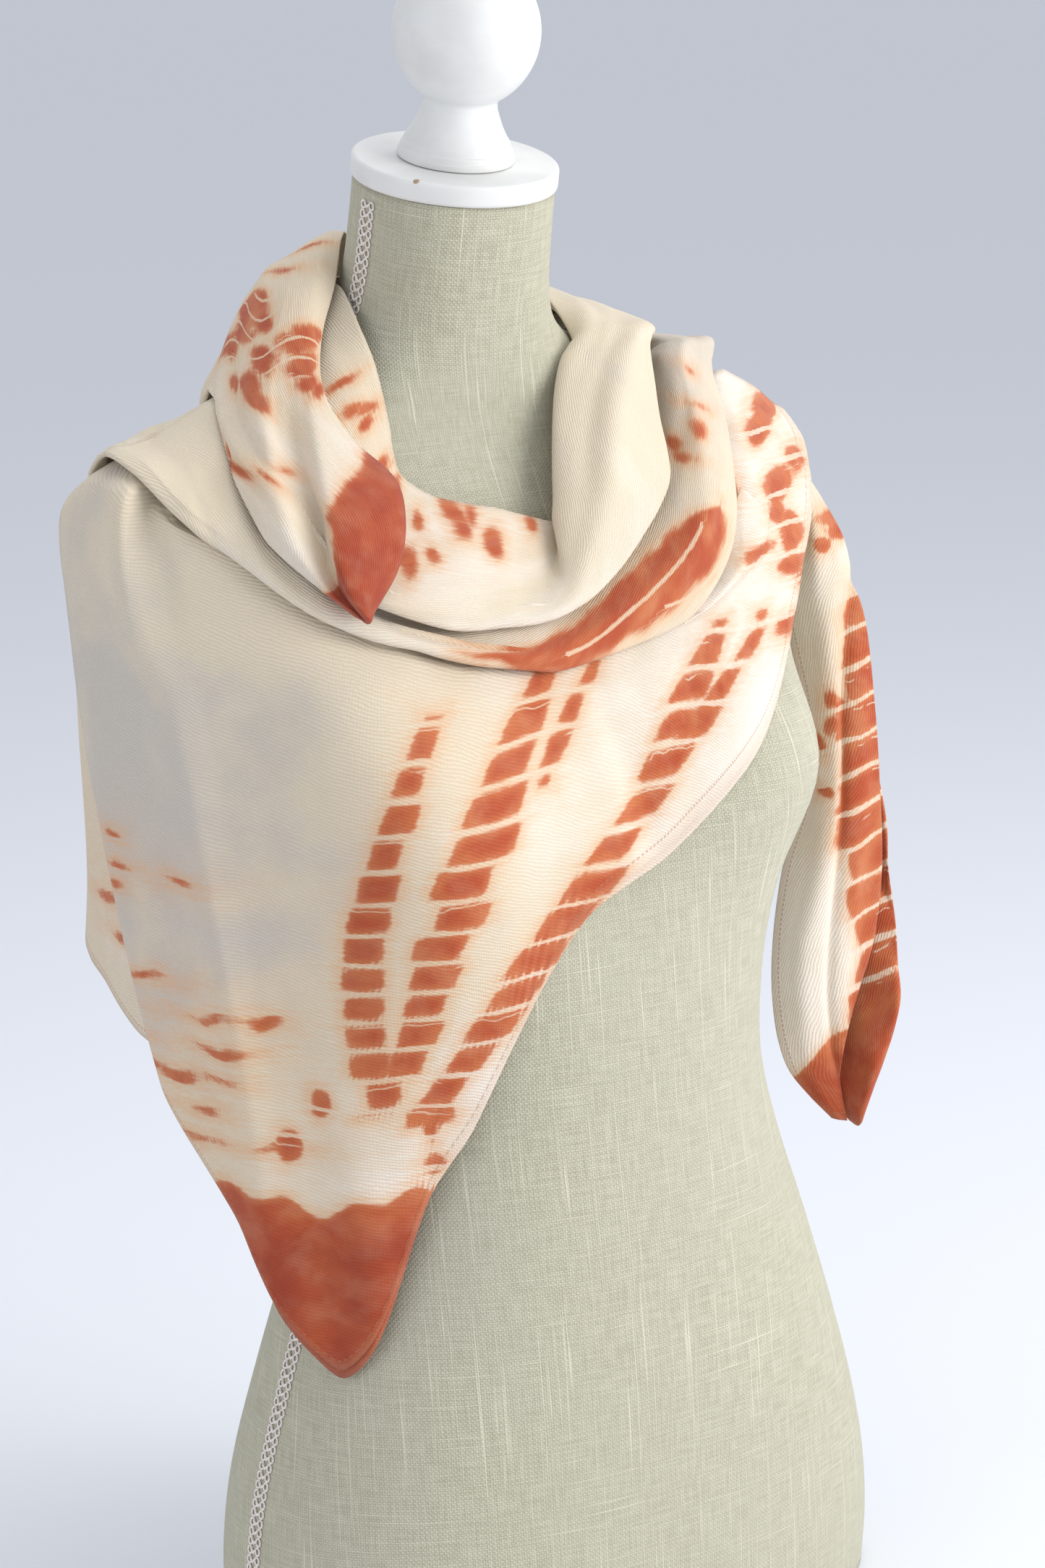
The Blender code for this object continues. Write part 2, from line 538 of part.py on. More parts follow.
def add_cap_and_finial(look, home):
    low = FIT
    high = low + CAP_THICKNESS
    cap = (
        (0, high),
        (CAP_RADIUS - CAP_EDGE, high),
        (CAP_RADIUS, high - CAP_EDGE),
        (CAP_RADIUS, low + CAP_EDGE),
        (CAP_RADIUS - CAP_EDGE, low),
        (0, low),
    )
    turned("neck_cap", cap, look, home)
    foot = high + FIT
    neck_radius, neck_height = FINIAL_FOOT[-1]
    last = math.acos((FINIAL_BALL_HEIGHT - neck_height - 3) / FINIAL_BALL_RADIUS)
    ball = []
    for step in range(FINIAL_BALL_RINGS):
        angle = (math.pi - last) * step / (FINIAL_BALL_RINGS - 1)
        radius = FINIAL_BALL_RADIUS * math.sin(angle)
        height = FINIAL_BALL_HEIGHT + FINIAL_BALL_RADIUS * 1.03 * math.cos(angle)
        ball.append((radius, height))
    profile = ball + list(reversed(FINIAL_FOOT)) + [(0, 0)]
    profile = [(radius * MM, foot + height * MM) for radius, height in profile]
    turned("finial", profile, look, home)


def main():
    for old in list(bpy.data.objects):
        bpy.data.objects.remove(old)
    home = collection("Shawl on a dress form")
    torso = add_torso(LINEN, home)
    add_cap_and_finial(PAINTED_WOOD, home)

    form = BVHTree.FromObject(torso, bpy.context.evaluated_depsgraph_get())
    on_form = [(form, OFF_FORM)]
    layer = WALL + LAYER_GAP

    def lay(name, sections, along, across, below, closed=False, fold=True, free=0):
        grid = loft(sections, along, across, closed)
        clear = np.zeros(grid.shape[:2])
        if fold:
            clear = fold_room(grid)
        grid = settle(grid, below, clear, closed, free=free)
        whole = grid
        if fold:
            whole = fold_under(grid, closed)
            whole = settle(whole, below, np.zeros(whole.shape[:2]), closed, 6)
        sheet(name, whole, CASHMERE, home, closed)
        return (surface(grid, closed), layer)

    back = lay("shawl_back", BACK, 2, 2, on_form, fold=False)
    inside = lay("shawl_end_inner", END_INNER, 2, 2, on_form + [back], fold=False)
    end = lay("shawl_end", END_OUTER, 2, 2, on_form + [back, inside], fold=False)
    under = [row[1:-1] + (peek(row),) for row in FRONT]
    under = lay("shawl_front_under", under, 2, 2, on_form + [back, end], fold=False)
    front = lay("shawl_front", FRONT, 2, 3, on_form + [back, end, under], fold=False)
    ridge = lay("shawl_ridge", RIDGE, 2, 2, on_form + [end, under, front], fold=False)
    lower = on_form + [back, end, front, ridge]
    outer = lay("shawl_outer_cowl", OUTER_COWL, 2, 2, lower, closed=True)
    inner = lay("shawl_inner_cowl", INNER_COWL, 2, 2, on_form + [outer])
    lay("shawl_roll", ROLL, 3, 2, on_form + [outer, inner], fold=False, free=5)


main()
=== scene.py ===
"""A tie-dyed cashmere shawl wound round the shoulders of a linen-covered dress form."""

import math

import bmesh
import bpy
import numpy as np
from mathutils import Matrix, Vector, noise
from mathutils.bvhtree import BVHTree


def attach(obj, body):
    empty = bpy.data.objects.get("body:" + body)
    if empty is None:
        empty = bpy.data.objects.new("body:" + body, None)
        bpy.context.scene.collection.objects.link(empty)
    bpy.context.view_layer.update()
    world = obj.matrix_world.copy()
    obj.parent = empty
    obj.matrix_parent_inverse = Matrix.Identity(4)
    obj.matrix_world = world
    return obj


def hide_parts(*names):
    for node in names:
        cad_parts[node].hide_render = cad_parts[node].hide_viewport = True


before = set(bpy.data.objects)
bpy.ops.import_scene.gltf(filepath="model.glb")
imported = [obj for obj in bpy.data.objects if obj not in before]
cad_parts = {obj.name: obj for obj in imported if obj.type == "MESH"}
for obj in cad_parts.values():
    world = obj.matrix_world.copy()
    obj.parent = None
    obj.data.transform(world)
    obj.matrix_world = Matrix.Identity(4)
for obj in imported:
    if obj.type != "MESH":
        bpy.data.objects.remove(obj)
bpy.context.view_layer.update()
MM = 0.001

# Camera, light and floor.
# The camera stands a little above the shoulders, looking down on the form with a slight tilt.
# Soft light comes from a wide panel on the right and from above, with a weaker one on the left.
CAMERA_PLACE = (0.0034, -2.155, 0.905)
CAMERA_DOWN = math.radians(12.2)
CAMERA_TILT = math.radians(-2.5)
LENS = 100

camera_data = bpy.data.cameras.new("camera")
camera_data.lens = LENS
camera_data.sensor_width = 36
camera = bpy.data.objects.new("camera", camera_data)
turn = Matrix.Rotation(math.pi / 2 - CAMERA_DOWN, 4, "X") @ Matrix.Rotation(CAMERA_TILT, 4, "Z")
camera.matrix_world = Matrix.Translation(CAMERA_PLACE) @ turn
bpy.context.scene.collection.objects.link(camera)
bpy.context.scene.camera = camera


def soft_light(name, place, aim, size, power, colour):
    data = bpy.data.lights.new(name, "AREA")
    data.size = size
    data.energy = power
    data.color = colour
    lamp = bpy.data.objects.new(name, data)
    lamp.location = place
    lamp.rotation_euler = (Vector(aim) - Vector(place)).to_track_quat("-Z", "Y").to_euler()
    bpy.context.scene.collection.objects.link(lamp)


soft_light("window", (2.3, -1.2, 1.3), (0, 0, 0.5), 1.6, 38, (1.0, 0.99, 0.97))
soft_light("side", (2.0, -0.4, 0.8), (0.15, 0.05, 0.4), 1.0, 14, (1.0, 1.0, 1.0))
soft_light("fill", (-2.3, -1.7, 1.1), (0, 0, 0.45), 1.9, 12, (0.98, 0.98, 1.0))
soft_light("top", (0.4, 0.5, 2.4), (0, 0.1, 0.5), 1.4, 14, (1.0, 1.0, 1.0))

sky = bpy.data.worlds.new("studio")
sky.use_nodes = True
sky.node_tree.nodes["Background"].inputs["Color"].default_value = (0.88, 0.91, 0.97, 1)
sky.node_tree.nodes["Background"].inputs["Strength"].default_value = 0.74
bpy.context.scene.world = sky
bpy.context.scene.view_settings.view_transform = "Standard"

floor_mesh = bpy.data.meshes.new("floor")
floor_shape = bmesh.new()
bmesh.ops.create_grid(floor_shape, x_segments=1, y_segments=1, size=60)
floor_shape.to_mesh(floor_mesh)
floor_shape.free()
floor = bpy.data.objects.new("floor", floor_mesh)
bpy.context.scene.collection.objects.link(floor)
floor_look = bpy.data.materials.new("pale floor")
floor_look.use_nodes = True
floor_look.node_tree.nodes["Principled BSDF"].inputs["Base Color"].default_value = (0.80, 0.82, 0.87, 1)
floor_look.node_tree.nodes["Principled BSDF"].inputs["Roughness"].default_value = 0.95
floor_mesh.materials.append(floor_look)


# The form's torso and neck.
# A moulded shell covered with greenish-grey linen whose thick and thin yarns show as pale slubs.
# Its rings are those of the solid, with more of them in between so that the outline is smooth.
FORM_TURN = math.radians(33)
NECK_LEAN = math.radians(13.5)
BUST_HEIGHT = 446 * MM
BUST_SPREAD = 52 * MM
BUST_ANGLE = math.radians(37)
BUST_WIDTH = math.radians(23)
BUST_SWELL = 32 * MM
ROUNDNESS = 2.25
TORSO_SIDES = 144
RINGS_BETWEEN = 5
RINGS = (
    # height, forward, half_width, front, back, lean
    (0, 4, 178, 110, 117, 0),
    (28, 4, 181, 112, 121, 0),
    (62, 4, 180, 113, 121, 0),
    (102, 4, 173, 113, 117, 0),
    (150, 6, 159, 111, 108, 0),
    (205, 9, 141, 105, 97, 0),
    (255, 12, 124, 97, 88, 0),
    (295, 13, 116, 92, 85, 0),
    (335, 11, 120, 92, 90, 0),
    (380, 5, 133, 94, 97, 0),
    (425, -3, 146, 93, 101, 0),
    (465, -12, 160, 88, 101, 0),
    (505, -21, 174, 80, 99, 0),
    (540, -29, 186, 71, 95, 0),
    (570, -36, 193, 62, 87, 1),
    (594, -41, 191, 55, 77, 2),
    (612, -45, 174, 51, 68, 4),
    (626, -47, 148, 49, 61, 6),
    (638, -49, 118, 49, 56, 8),
    (649, -50, 90, 50, 53, 10),
    (661, -50, 69, 50, 51, 12),
    (676, -48, 56, 49, 50, 13.5),
    (696, -43.5, 51, 48.5, 49, 13.5),
    (719, -38, 49.5, 48.5, 48.5, 13.5),
    (742, -32.5, 49, 48.5, 48.5, 13.5),
)


def curve(points, steps, closed=False):
    """A smooth curve through the points, with the same number of steps to each gap."""
    points = np.asarray(points, float)
    count = len(points)
    gaps = count if closed else count - 1
    made = []
    for gap in range(gaps):
        if closed:
            before, start, end, after = (points[(gap + k) % count] for k in (-1, 0, 1, 2))
        else:
            start, end = points[gap], points[gap + 1]
            before = points[gap - 1] if gap > 0 else 2 * start - end
            after = points[gap + 2] if gap + 2 < count else 2 * end - start
        knots = [0.0]
        for a, b in ((before, start), (start, end), (end, after)):
            knots.append(knots[-1] + max(np.linalg.norm(b - a), 1e-6) ** 0.5)
        t0, t1, t2, t3 = knots
        for step in range(steps):
            t = t1 + (t2 - t1) * step / steps
            a1 = (before * (t1 - t) + start * (t - t0)) / (t1 - t0)
            a2 = (start * (t2 - t) + end * (t - t1)) / (t2 - t1)
            a3 = (end * (t3 - t) + after * (t - t2)) / (t3 - t2)
            b1 = (a1 * (t2 - t) + a2 * (t - t0)) / (t2 - t0)
            b2 = (a2 * (t3 - t) + a3 * (t - t1)) / (t3 - t1)
            made.append((b1 * (t2 - t) + b2 * (t - t1)) / (t2 - t1))
    if not closed:
        made.append(points[-1])
    return np.array(made)


def power(value, exponent):
    return math.copysign(abs(value) ** exponent, value)


def form_to_row(point):
    return Matrix.Rotation(FORM_TURN, 3, "Z") @ point


def ring_point(ring, angle):
    """The point of a ring at an angle from the form's front, towards its left side."""
    height, forward, half_width, front, back, lean = ring
    depth = front if math.cos(angle) > 0 else back
    side = half_width * MM * power(math.sin(angle), 2 / ROUNDNESS)
    ahead = depth * MM * power(math.cos(angle), 2 / ROUNDNESS)
    near_bust = math.exp(-(((height * MM - BUST_HEIGHT) / BUST_SPREAD) ** 2))
    off_centre = (abs(angle) - BUST_ANGLE) / BUST_WIDTH
    swell = BUST_SWELL * near_bust * math.exp(-(off_centre**2))
    side += swell * math.sin(angle)
    ahead += swell * math.cos(angle)
    middle = Vector((0, -forward * MM, height * MM))
    tilt = Matrix.Rotation(math.radians(lean), 3, "X")
    return form_to_row(middle + tilt @ Vector((side, -ahead, 0)))


def cloth_grid(name, grid, along, across, marks=None, closed=False):
    """A mesh with a grid of points, a UV map in metres of cloth, and named values at its points.

    along and across give each point's place on the flat cloth, in millimetres.
    """
    rows, columns = grid.shape[:2]
    last = rows if closed else rows - 1
    made = bmesh.new()
    bmesh.ops.create_grid(made, x_segments=last, y_segments=columns - 1, size=1)
    uv = made.loops.layers.uv.new("UVMap")
    marks = marks or {}
    layers = {mark: made.verts.layers.float.new(mark) for mark in marks}
    place = {}
    for vert in made.verts:
        i = round((vert.co.x + 1) / 2 * last)
        j = round((vert.co.y + 1) / 2 * (columns - 1))
        place[vert] = (i, j)
        vert.co = grid[i % rows, j]
        for mark, layer in layers.items():
            vert[layer] = marks[mark][i % rows, j]
    round_trip = along[-1, 0] + (along[-1, 0] - along[-2, 0]) if closed else 0
    for face in made.faces:
        for loop in face.loops:
            i, j = place[loop.vert]
            start = along[i, j] if i < rows else round_trip
            loop[uv].uv = (start * MM, across[i % rows, j] * MM)
    if closed:
        bmesh.ops.remove_doubles(made, verts=made.verts, dist=1e-6)
    mesh = bpy.data.meshes.new(name)
    made.to_mesh(mesh)
    made.free()
    piece = bpy.data.objects.new(name, mesh)
    bpy.context.scene.collection.objects.link(piece)
    mesh.shade_smooth()
    return piece


def node_group(name, inputs, outputs):
    """An empty shader group with float or colour sockets; returns it with its two ends."""
    group = bpy.data.node_groups.new(name, "ShaderNodeTree")
    for socket, kind, value in inputs:
        made = group.interface.new_socket(socket, in_out="INPUT", socket_type=kind)
        if value is not None:
            made.default_value = value
    for socket, kind in outputs:
        group.interface.new_socket(socket, in_out="OUTPUT", socket_type=kind)
    start = group.nodes.new("NodeGroupInput")
    end = group.nodes.new("NodeGroupOutput")
    return group, start, end


class Wiring:
    """Short ways of adding nodes to a tree and joining them."""

    def __init__(self, tree):
        self.tree = tree

    def add(self, kind, settings=None, **inputs):
        node = self.tree.nodes.new(kind)
        for key, value in (settings or {}).items():
            setattr(node, key, value)
        for key, value in inputs.items():
            self.put(node.inputs[key.replace("_", " ")], value)
        return node

    def put(self, socket, value):
        if isinstance(value, bpy.types.NodeSocket):
            self.tree.links.new(value, socket)
        else:
            socket.default_value = value

    def math(self, operation, a, b=0.0, clamp=False):
        node = self.tree.nodes.new("ShaderNodeMath")
        node.operation = operation
        node.use_clamp = clamp
        self.put(node.inputs[0], a)
        self.put(node.inputs[1], b)
        return node.outputs[0]

    def ramp(self, value, low, high, out_low=0.0, out_high=1.0):
        """value from low to high, eased, as out_low to out_high."""
        node = self.tree.nodes.new("ShaderNodeMapRange")
        node.interpolation_type = "SMOOTHSTEP"
        node.inputs["From Min"].default_value = low
        node.inputs["From Max"].default_value = high
        node.inputs["To Min"].default_value = out_low
        node.inputs["To Max"].default_value = out_high
        self.put(node.inputs["Value"], value)
        return node.outputs["Result"]

    def mix(self, amount, a, b, blend="MIX"):
        node = self.tree.nodes.new("ShaderNodeMix")
        node.data_type = "RGBA"
        node.blend_type = blend
        self.put(node.inputs["Factor"], amount)
        self.put(node.inputs[6], a)
        self.put(node.inputs[7], b)
        return node.outputs[2]

    def noise(self, at, scale, detail=2.0, stretch=None, rough=0.5):
        if stretch:
            at = self.add("ShaderNodeMapping", Vector=at, Scale=stretch).outputs["Vector"]
        node = self.tree.nodes.new("ShaderNodeTexNoise")
        node.inputs["Scale"].default_value = scale
        node.inputs["Detail"].default_value = detail
        node.inputs["Roughness"].default_value = rough
        self.put(node.inputs["Vector"], at)
        return node.outputs["Fac"]


def build_weave():
    """Plain weave from a cloth's place in metres: over-and-under yarns as height, gaps as a mask."""
    group, start, end = node_group(
        "plain weave",
        [("Place", "NodeSocketVector", None), ("Pitch", "NodeSocketFloat", 0.0015)],
        [("Height", "NodeSocketFloat"), ("Gap", "NodeSocketFloat")],
    )
    w = Wiring(group)
    wander = w.noise(start.outputs["Place"], 240, 2)
    split = w.add("ShaderNodeSeparateXYZ", Vector=start.outputs["Place"])
    per = w.math("DIVIDE", math.pi, start.outputs["Pitch"])
    drift = w.math("MULTIPLY", w.math("SUBTRACT", wander, 0.5), 1.6)
    across = w.math("ADD", w.math("MULTIPLY", split.outputs["X"], per), drift)
    up = w.math("ADD", w.math("MULTIPLY", split.outputs["Y"], per), drift)
    warp = w.math("SINE", across)
    weft = w.math("SINE", up)
    over = w.math("MULTIPLY", warp, weft)
    gap_x = w.math("POWER", w.math("ABSOLUTE", w.math("COSINE", across)), 6)
    gap_y = w.math("POWER", w.math("ABSOLUTE", w.math("COSINE", up)), 6)
    gap = w.math("MULTIPLY", gap_x, gap_y)
    height = w.math("SUBTRACT", w.math("MULTIPLY", over, 0.5), gap)
    w.put(end.inputs["Height"], height)
    w.put(end.inputs["Gap"], gap)
    return group


def build_slubs():
    """Thick pale yarns here and there, running up and across, from a place in metres."""
    group, start, end = node_group(
        "slubs",
        [("Place", "NodeSocketVector", None), ("Amount", "NodeSocketFloat", 1.0)],
        [("Slub", "NodeSocketFloat")],
    )
    w = Wiring(group)
    up = w.noise(start.outputs["Place"], 1, 2, (760, 9, 1), 0.5)
    across = w.noise(start.outputs["Place"], 1, 2, (11, 800, 1), 0.5)
    rare = w.noise(start.outputs["Place"], 1, 2, (90, 4, 1), 0.5)
    up = w.math("MULTIPLY", w.ramp(up, 0.60, 0.68), w.ramp(rare, 0.40, 0.60))
    across = w.ramp(across, 0.64, 0.72)
    slub = w.math("MAXIMUM", up, w.math("MULTIPLY", across, 0.7))
    w.put(end.inputs["Slub"], w.math("MULTIPLY", slub, start.outputs["Amount"], True))
    return group


WEAVE = build_weave()
SLUBS = build_slubs()
LINEN_DARK = (0.275, 0.265, 0.185, 1)
LINEN_PALE = (0.70, 0.665, 0.52, 1)

linen = bpy.data.materials.new("linen")
linen.use_nodes = True
w = Wiring(linen.node_tree)
shader = linen.node_tree.nodes["Principled BSDF"]
place = w.add("ShaderNodeUVMap", {"uv_map": "UVMap"}).outputs["UV"]
weave = w.add("ShaderNodeGroup", {"node_tree": WEAVE}, Place=place, Pitch=0.00125)
slubs = w.add("ShaderNodeGroup", {"node_tree": SLUBS}, Place=place, Amount=0.72)
yarn = w.noise(place, 1, 2, (900, 60, 1))
yarn_across = w.noise(place, 1, 2, (60, 900, 1))
tone = w.math("MULTIPLY", w.math("ADD", yarn, yarn_across), 0.5)
colour = w.mix(w.ramp(tone, 0.32, 0.68), (0.395, 0.375, 0.275, 1), (0.540, 0.520, 0.400, 1))
blotch = w.noise(w.add("ShaderNodeTexCoord").outputs["Object"], 9, 3)
colour = w.mix(w.ramp(blotch, 0.3, 0.75, 0, 0.35), colour, (0.47, 0.455, 0.37, 1))
colour = w.mix(w.math("MULTIPLY", weave.outputs["Gap"], 0.85), colour, LINEN_DARK)
over = w.ramp(weave.outputs["Height"], -0.1, 0.5)
colour = w.mix(w.math("MULTIPLY", over, 0.22), colour, LINEN_PALE)
colour = w.mix(slubs.outputs["Slub"], colour, LINEN_PALE)
w.put(shader.inputs["Base Color"], colour)
shader.inputs["Roughness"].default_value = 0.92
shader.inputs["Specular IOR Level"].default_value = 0.2
shader.inputs["Sheen Weight"].default_value = 0.15
height = w.math("ADD", weave.outputs["Height"], w.math("MULTIPLY", slubs.outputs["Slub"], 0.8))
bump = w.add("ShaderNodeBump", Height=height, Strength=0.55, Distance=0.0004)
w.put(shader.inputs["Normal"], bump.outputs["Normal"])

rings = curve(RINGS, RINGS_BETWEEN)
angles = np.linspace(-math.pi, math.pi, TORSO_SIDES + 1)[:-1]
torso_grid = np.array([[ring_point(ring, angle) for angle in angles] for ring in rings])
torso_grid = torso_grid.transpose(1, 0, 2)
steps_round = np.linalg.norm(np.roll(torso_grid, -1, 0) - torso_grid, axis=2)
girth = np.cumsum(steps_round, axis=0) - steps_round
girth = (girth - girth[TORSO_SIDES // 2]) / MM
rise = np.linalg.norm(np.diff(torso_grid, axis=1), axis=2).mean(axis=0)
rise = np.concatenate([[0], np.cumsum(rise)]) / MM
rise = np.repeat(rise[None], TORSO_SIDES, axis=0)
torso = cloth_grid("form_linen", torso_grid, girth, rise, closed=True)
ends = bmesh.new()
ends.from_mesh(torso.data)
bmesh.ops.holes_fill(ends, edges=[edge for edge in ends.edges if edge.is_boundary])
bmesh.ops.recalc_face_normals(ends, faces=ends.faces)
ends.to_mesh(torso.data)
ends.free()
torso.data.materials.append(linen)
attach(torso, "root")
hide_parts("form_torso")


# Gimp braid.
# A pale braid with a row of small loops on each side of a plaited middle, about 11 mm wide.
# It is glued over the linen's side seams, from under the neck's cap to the foot of the form.
LOOP_PITCH = 4.8 * MM
LOOP_REACH = 4.1 * MM
YARN = 0.8 * MM
PLAIT_YARN = 1.0 * MM


def seam_line(angle, low, high, step):
    """Points, outward normals and upward directions along the form's side, evenly spaced."""
    heights = np.linspace(0, len(rings) - 1, 900)
    track = []
    for h in heights:
        k = min(int(h), len(rings) - 2)
        ring = rings[k] * (1 - (h - k)) + rings[k + 1] * (h - k)
        if low <= ring[0] <= high:
            point = ring_point(ring, angle)
            beside = ring_point(ring, angle + 0.02) - ring_point(ring, angle - 0.02)
            track.append((np.array(point), np.array(beside.normalized())))
    points = np.array([point for point, _ in track])
    sides = np.array([side for _, side in track])
    lengths = np.concatenate([[0], np.cumsum(np.linalg.norm(np.diff(points, axis=0), axis=1))])
    wanted = np.arange(0, lengths[-1], step)
    points = np.stack([np.interp(wanted, lengths, points[:, k]) for k in range(3)], axis=1)
    sides = np.stack([np.interp(wanted, lengths, sides[:, k]) for k in range(3)], axis=1)
    ups = np.gradient(points, axis=0)
    ups /= np.linalg.norm(ups, axis=1, keepdims=True)
    outs = np.cross(sides, ups)
    outs /= np.linalg.norm(outs, axis=1, keepdims=True)
    middle = np.array([-0.02, 0.03, 0])
    if ((points - middle)[:, :2] * outs[:, :2]).sum() < 0:
        outs = -outs
    return points, outs, ups, sides


cotton = bpy.data.materials.new("cotton braid")
cotton.use_nodes = True
w = Wiring(cotton.node_tree)
shader = cotton.node_tree.nodes["Principled BSDF"]
at = w.add("ShaderNodeTexCoord").outputs["Object"]
twist = w.noise(at, 900, 2)
soil = w.noise(at, 60, 3)
colour = w.mix(w.ramp(twist, 0.3, 0.7), (0.70, 0.62, 0.57, 1), (0.88, 0.82, 0.77, 1))
colour = w.mix(w.ramp(soil, 0.5, 0.8, 0, 0.3), colour, (0.62, 0.50, 0.40, 1))
w.put(shader.inputs["Base Color"], colour)
shader.inputs["Roughness"].default_value = 0.85
shader.inputs["Sheen Weight"].default_value = 0.3
bump = w.add("ShaderNodeBump", Height=twist, Strength=0.5, Distance=0.0002)
w.put(shader.inputs["Normal"], bump.outputs["Normal"])


def braid_unit():
    """One pitch of the braid: a loop on each side and a pair of slanted stitches between them."""
    unit = bmesh.new()
    for side in (-1, 1):
        ring = bmesh.new()
        circle = bmesh.ops.create_circle(
            ring,
            segments=6,
            radius=0.34,
            matrix=Matrix.Translation((1, 0, 0)) @ Matrix.Rotation(math.pi / 2, 4, "X"),
        )
        edges = list({edge for vert in circle["verts"] for edge in vert.link_edges})
        bmesh.ops.spin(
            ring,
            geom=circle["verts"] + edges,
            cent=(0, 0, 0),
            axis=(0, 0, 1),
            angle=2 * math.pi,
            steps=10,
            use_merge=True,
        )
        slant = Matrix.Rotation(side * math.radians(-28), 4, "Z")
        size = Matrix.Diagonal((LOOP_REACH * 0.48, LOOP_PITCH * 0.40, YARN * 1.7, 1))
        where = Matrix.Translation((side * LOOP_REACH * 0.86, side * 0.0003, 0)) @ slant @ size
        bmesh.ops.transform(ring, matrix=where, verts=ring.verts)
        stitch = bmesh.ops.create_uvsphere(ring, u_segments=8, v_segments=5, radius=1)
        slant = Matrix.Rotation(side * math.radians(-52), 4, "Z")
        size = Matrix.Diagonal((PLAIT_YARN * 0.80, LOOP_PITCH * 0.52, PLAIT_YARN * 0.60, 1))
        where = Matrix.Translation((side * 1.1 * MM, 0, 0.40 * MM)) @ slant @ size
        bmesh.ops.transform(ring, matrix=where, verts=stitch["verts"])
        part = bpy.data.meshes.new("loop")
        ring.to_mesh(part)
        ring.free()
        unit.from_mesh(part)
        bpy.data.meshes.remove(part)
    bmesh.ops.recalc_face_normals(unit, faces=unit.faces)
    made = bpy.data.meshes.new("braid unit")
    unit.to_mesh(made)
    unit.free()
    return made


unit = braid_unit()
for name, angle in (("braid_right_side", -math.pi / 2), ("braid_left_side", math.pi / 2)):
    points, outs, ups, sides = seam_line(angle, 1.5, 741, LOOP_PITCH)
    braid = bmesh.new()
    for point, out, up, side in zip(points[:-1], outs, ups, sides):
        right = np.cross(up, out)
        turn = Matrix((right, up, out)).transposed().to_4x4()
        before = len(braid.verts)
        braid.from_mesh(unit)
        braid.verts.ensure_lookup_table()
        where = Matrix.Translation(Vector(point + out * 0.45 * MM)) @ turn
        bmesh.ops.transform(braid, matrix=where, verts=braid.verts[before:])
    mesh = bpy.data.meshes.new(name)
    braid.to_mesh(mesh)
    braid.free()
    mesh.shade_smooth()
    piece = bpy.data.objects.new(name, mesh)
    bpy.context.scene.collection.objects.link(piece)
    mesh.materials.append(cotton)
    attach(piece, "root")
bpy.data.meshes.remove(unit)


# Neck cap and finial.
# Both are turned in wood and painted satin white: a flat cap that closes the neck, and on it a
# stepped foot with a ball. They stand on the neck's leaning axis.
CAP_RADIUS = 52
CAP_THICKNESS = 11
CAP_EDGE = 2.4
FIT = 0.3
FINIAL_FOOT = (
    # radius, height
    (29.3, 0),
    (29.3, 3.2),
    (28.6, 3.4),
    (28.2, 6.4),
    (27.2, 6.8),
    (26.6, 9.6),
    (24.6, 12.5),
    (22.2, 17),
    (20.2, 22),
    (18.8, 26),
    (18.4, 29.5),
)
FINIAL_BALL_HEIGHT = 64
FINIAL_BALL_RADIUS = 37
TURNED_STEPS = 96


def neck_place():
    height, forward = RINGS[-1][:2]
    axis = form_to_row(Vector((0, -forward * MM, height * MM)))
    lean = Matrix.Rotation(FORM_TURN, 4, "Z") @ Matrix.Rotation(NECK_LEAN, 4, "X")
    return Matrix.Translation(axis) @ lean


def turned(name, profile, look):
    """A turned piece from (radius, height) pairs in millimetres, closed at both ends."""
    shape = bmesh.new()
    verts = [shape.verts.new((radius * MM, 0, height * MM)) for radius, height in profile]
    edges = [shape.edges.new(pair) for pair in zip(verts, verts[1:])]
    bmesh.ops.spin(
        shape,
        geom=verts + edges,
        cent=(0, 0, 0),
        axis=(0, 0, 1),
        angle=2 * math.pi,
        steps=TURNED_STEPS,
        use_merge=True,
    )
    bmesh.ops.remove_doubles(shape, verts=shape.verts, dist=0.00002)
    bmesh.ops.transform(shape, matrix=neck_place(), verts=shape.verts)
    bmesh.ops.recalc_face_normals(shape, faces=shape.faces)
    mesh = bpy.data.meshes.new(name)
    shape.to_mesh(mesh)
    shape.free()
    mesh.shade_smooth()
    piece = bpy.data.objects.new(name, mesh)
    bpy.context.scene.collection.objects.link(piece)
    mesh.materials.append(look)
    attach(piece, "root")
    return piece


def rounded(corners, radius, steps=5):
    """A profile with each corner turned over a small radius."""
    points = [corners[0]]
    for before, at, after in zip(corners, corners[1:], corners[2:]):
        a, b, c = (np.array(p, float) for p in (before, at, after))
        back = (a - b) / np.linalg.norm(a - b)
        on = (c - b) / np.linalg.norm(c - b)
        reach = min(radius, np.linalg.norm(a - b) / 2.2, np.linalg.norm(c - b) / 2.2)
        for k in range(steps + 1):
            t = k / steps
            p = (1 - t) ** 2 * (b + back * reach) + 2 * t * (1 - t) * b + t * t * (b + on * reach)
            points.append(tuple(p))
    points.append(corners[-1])
    return points


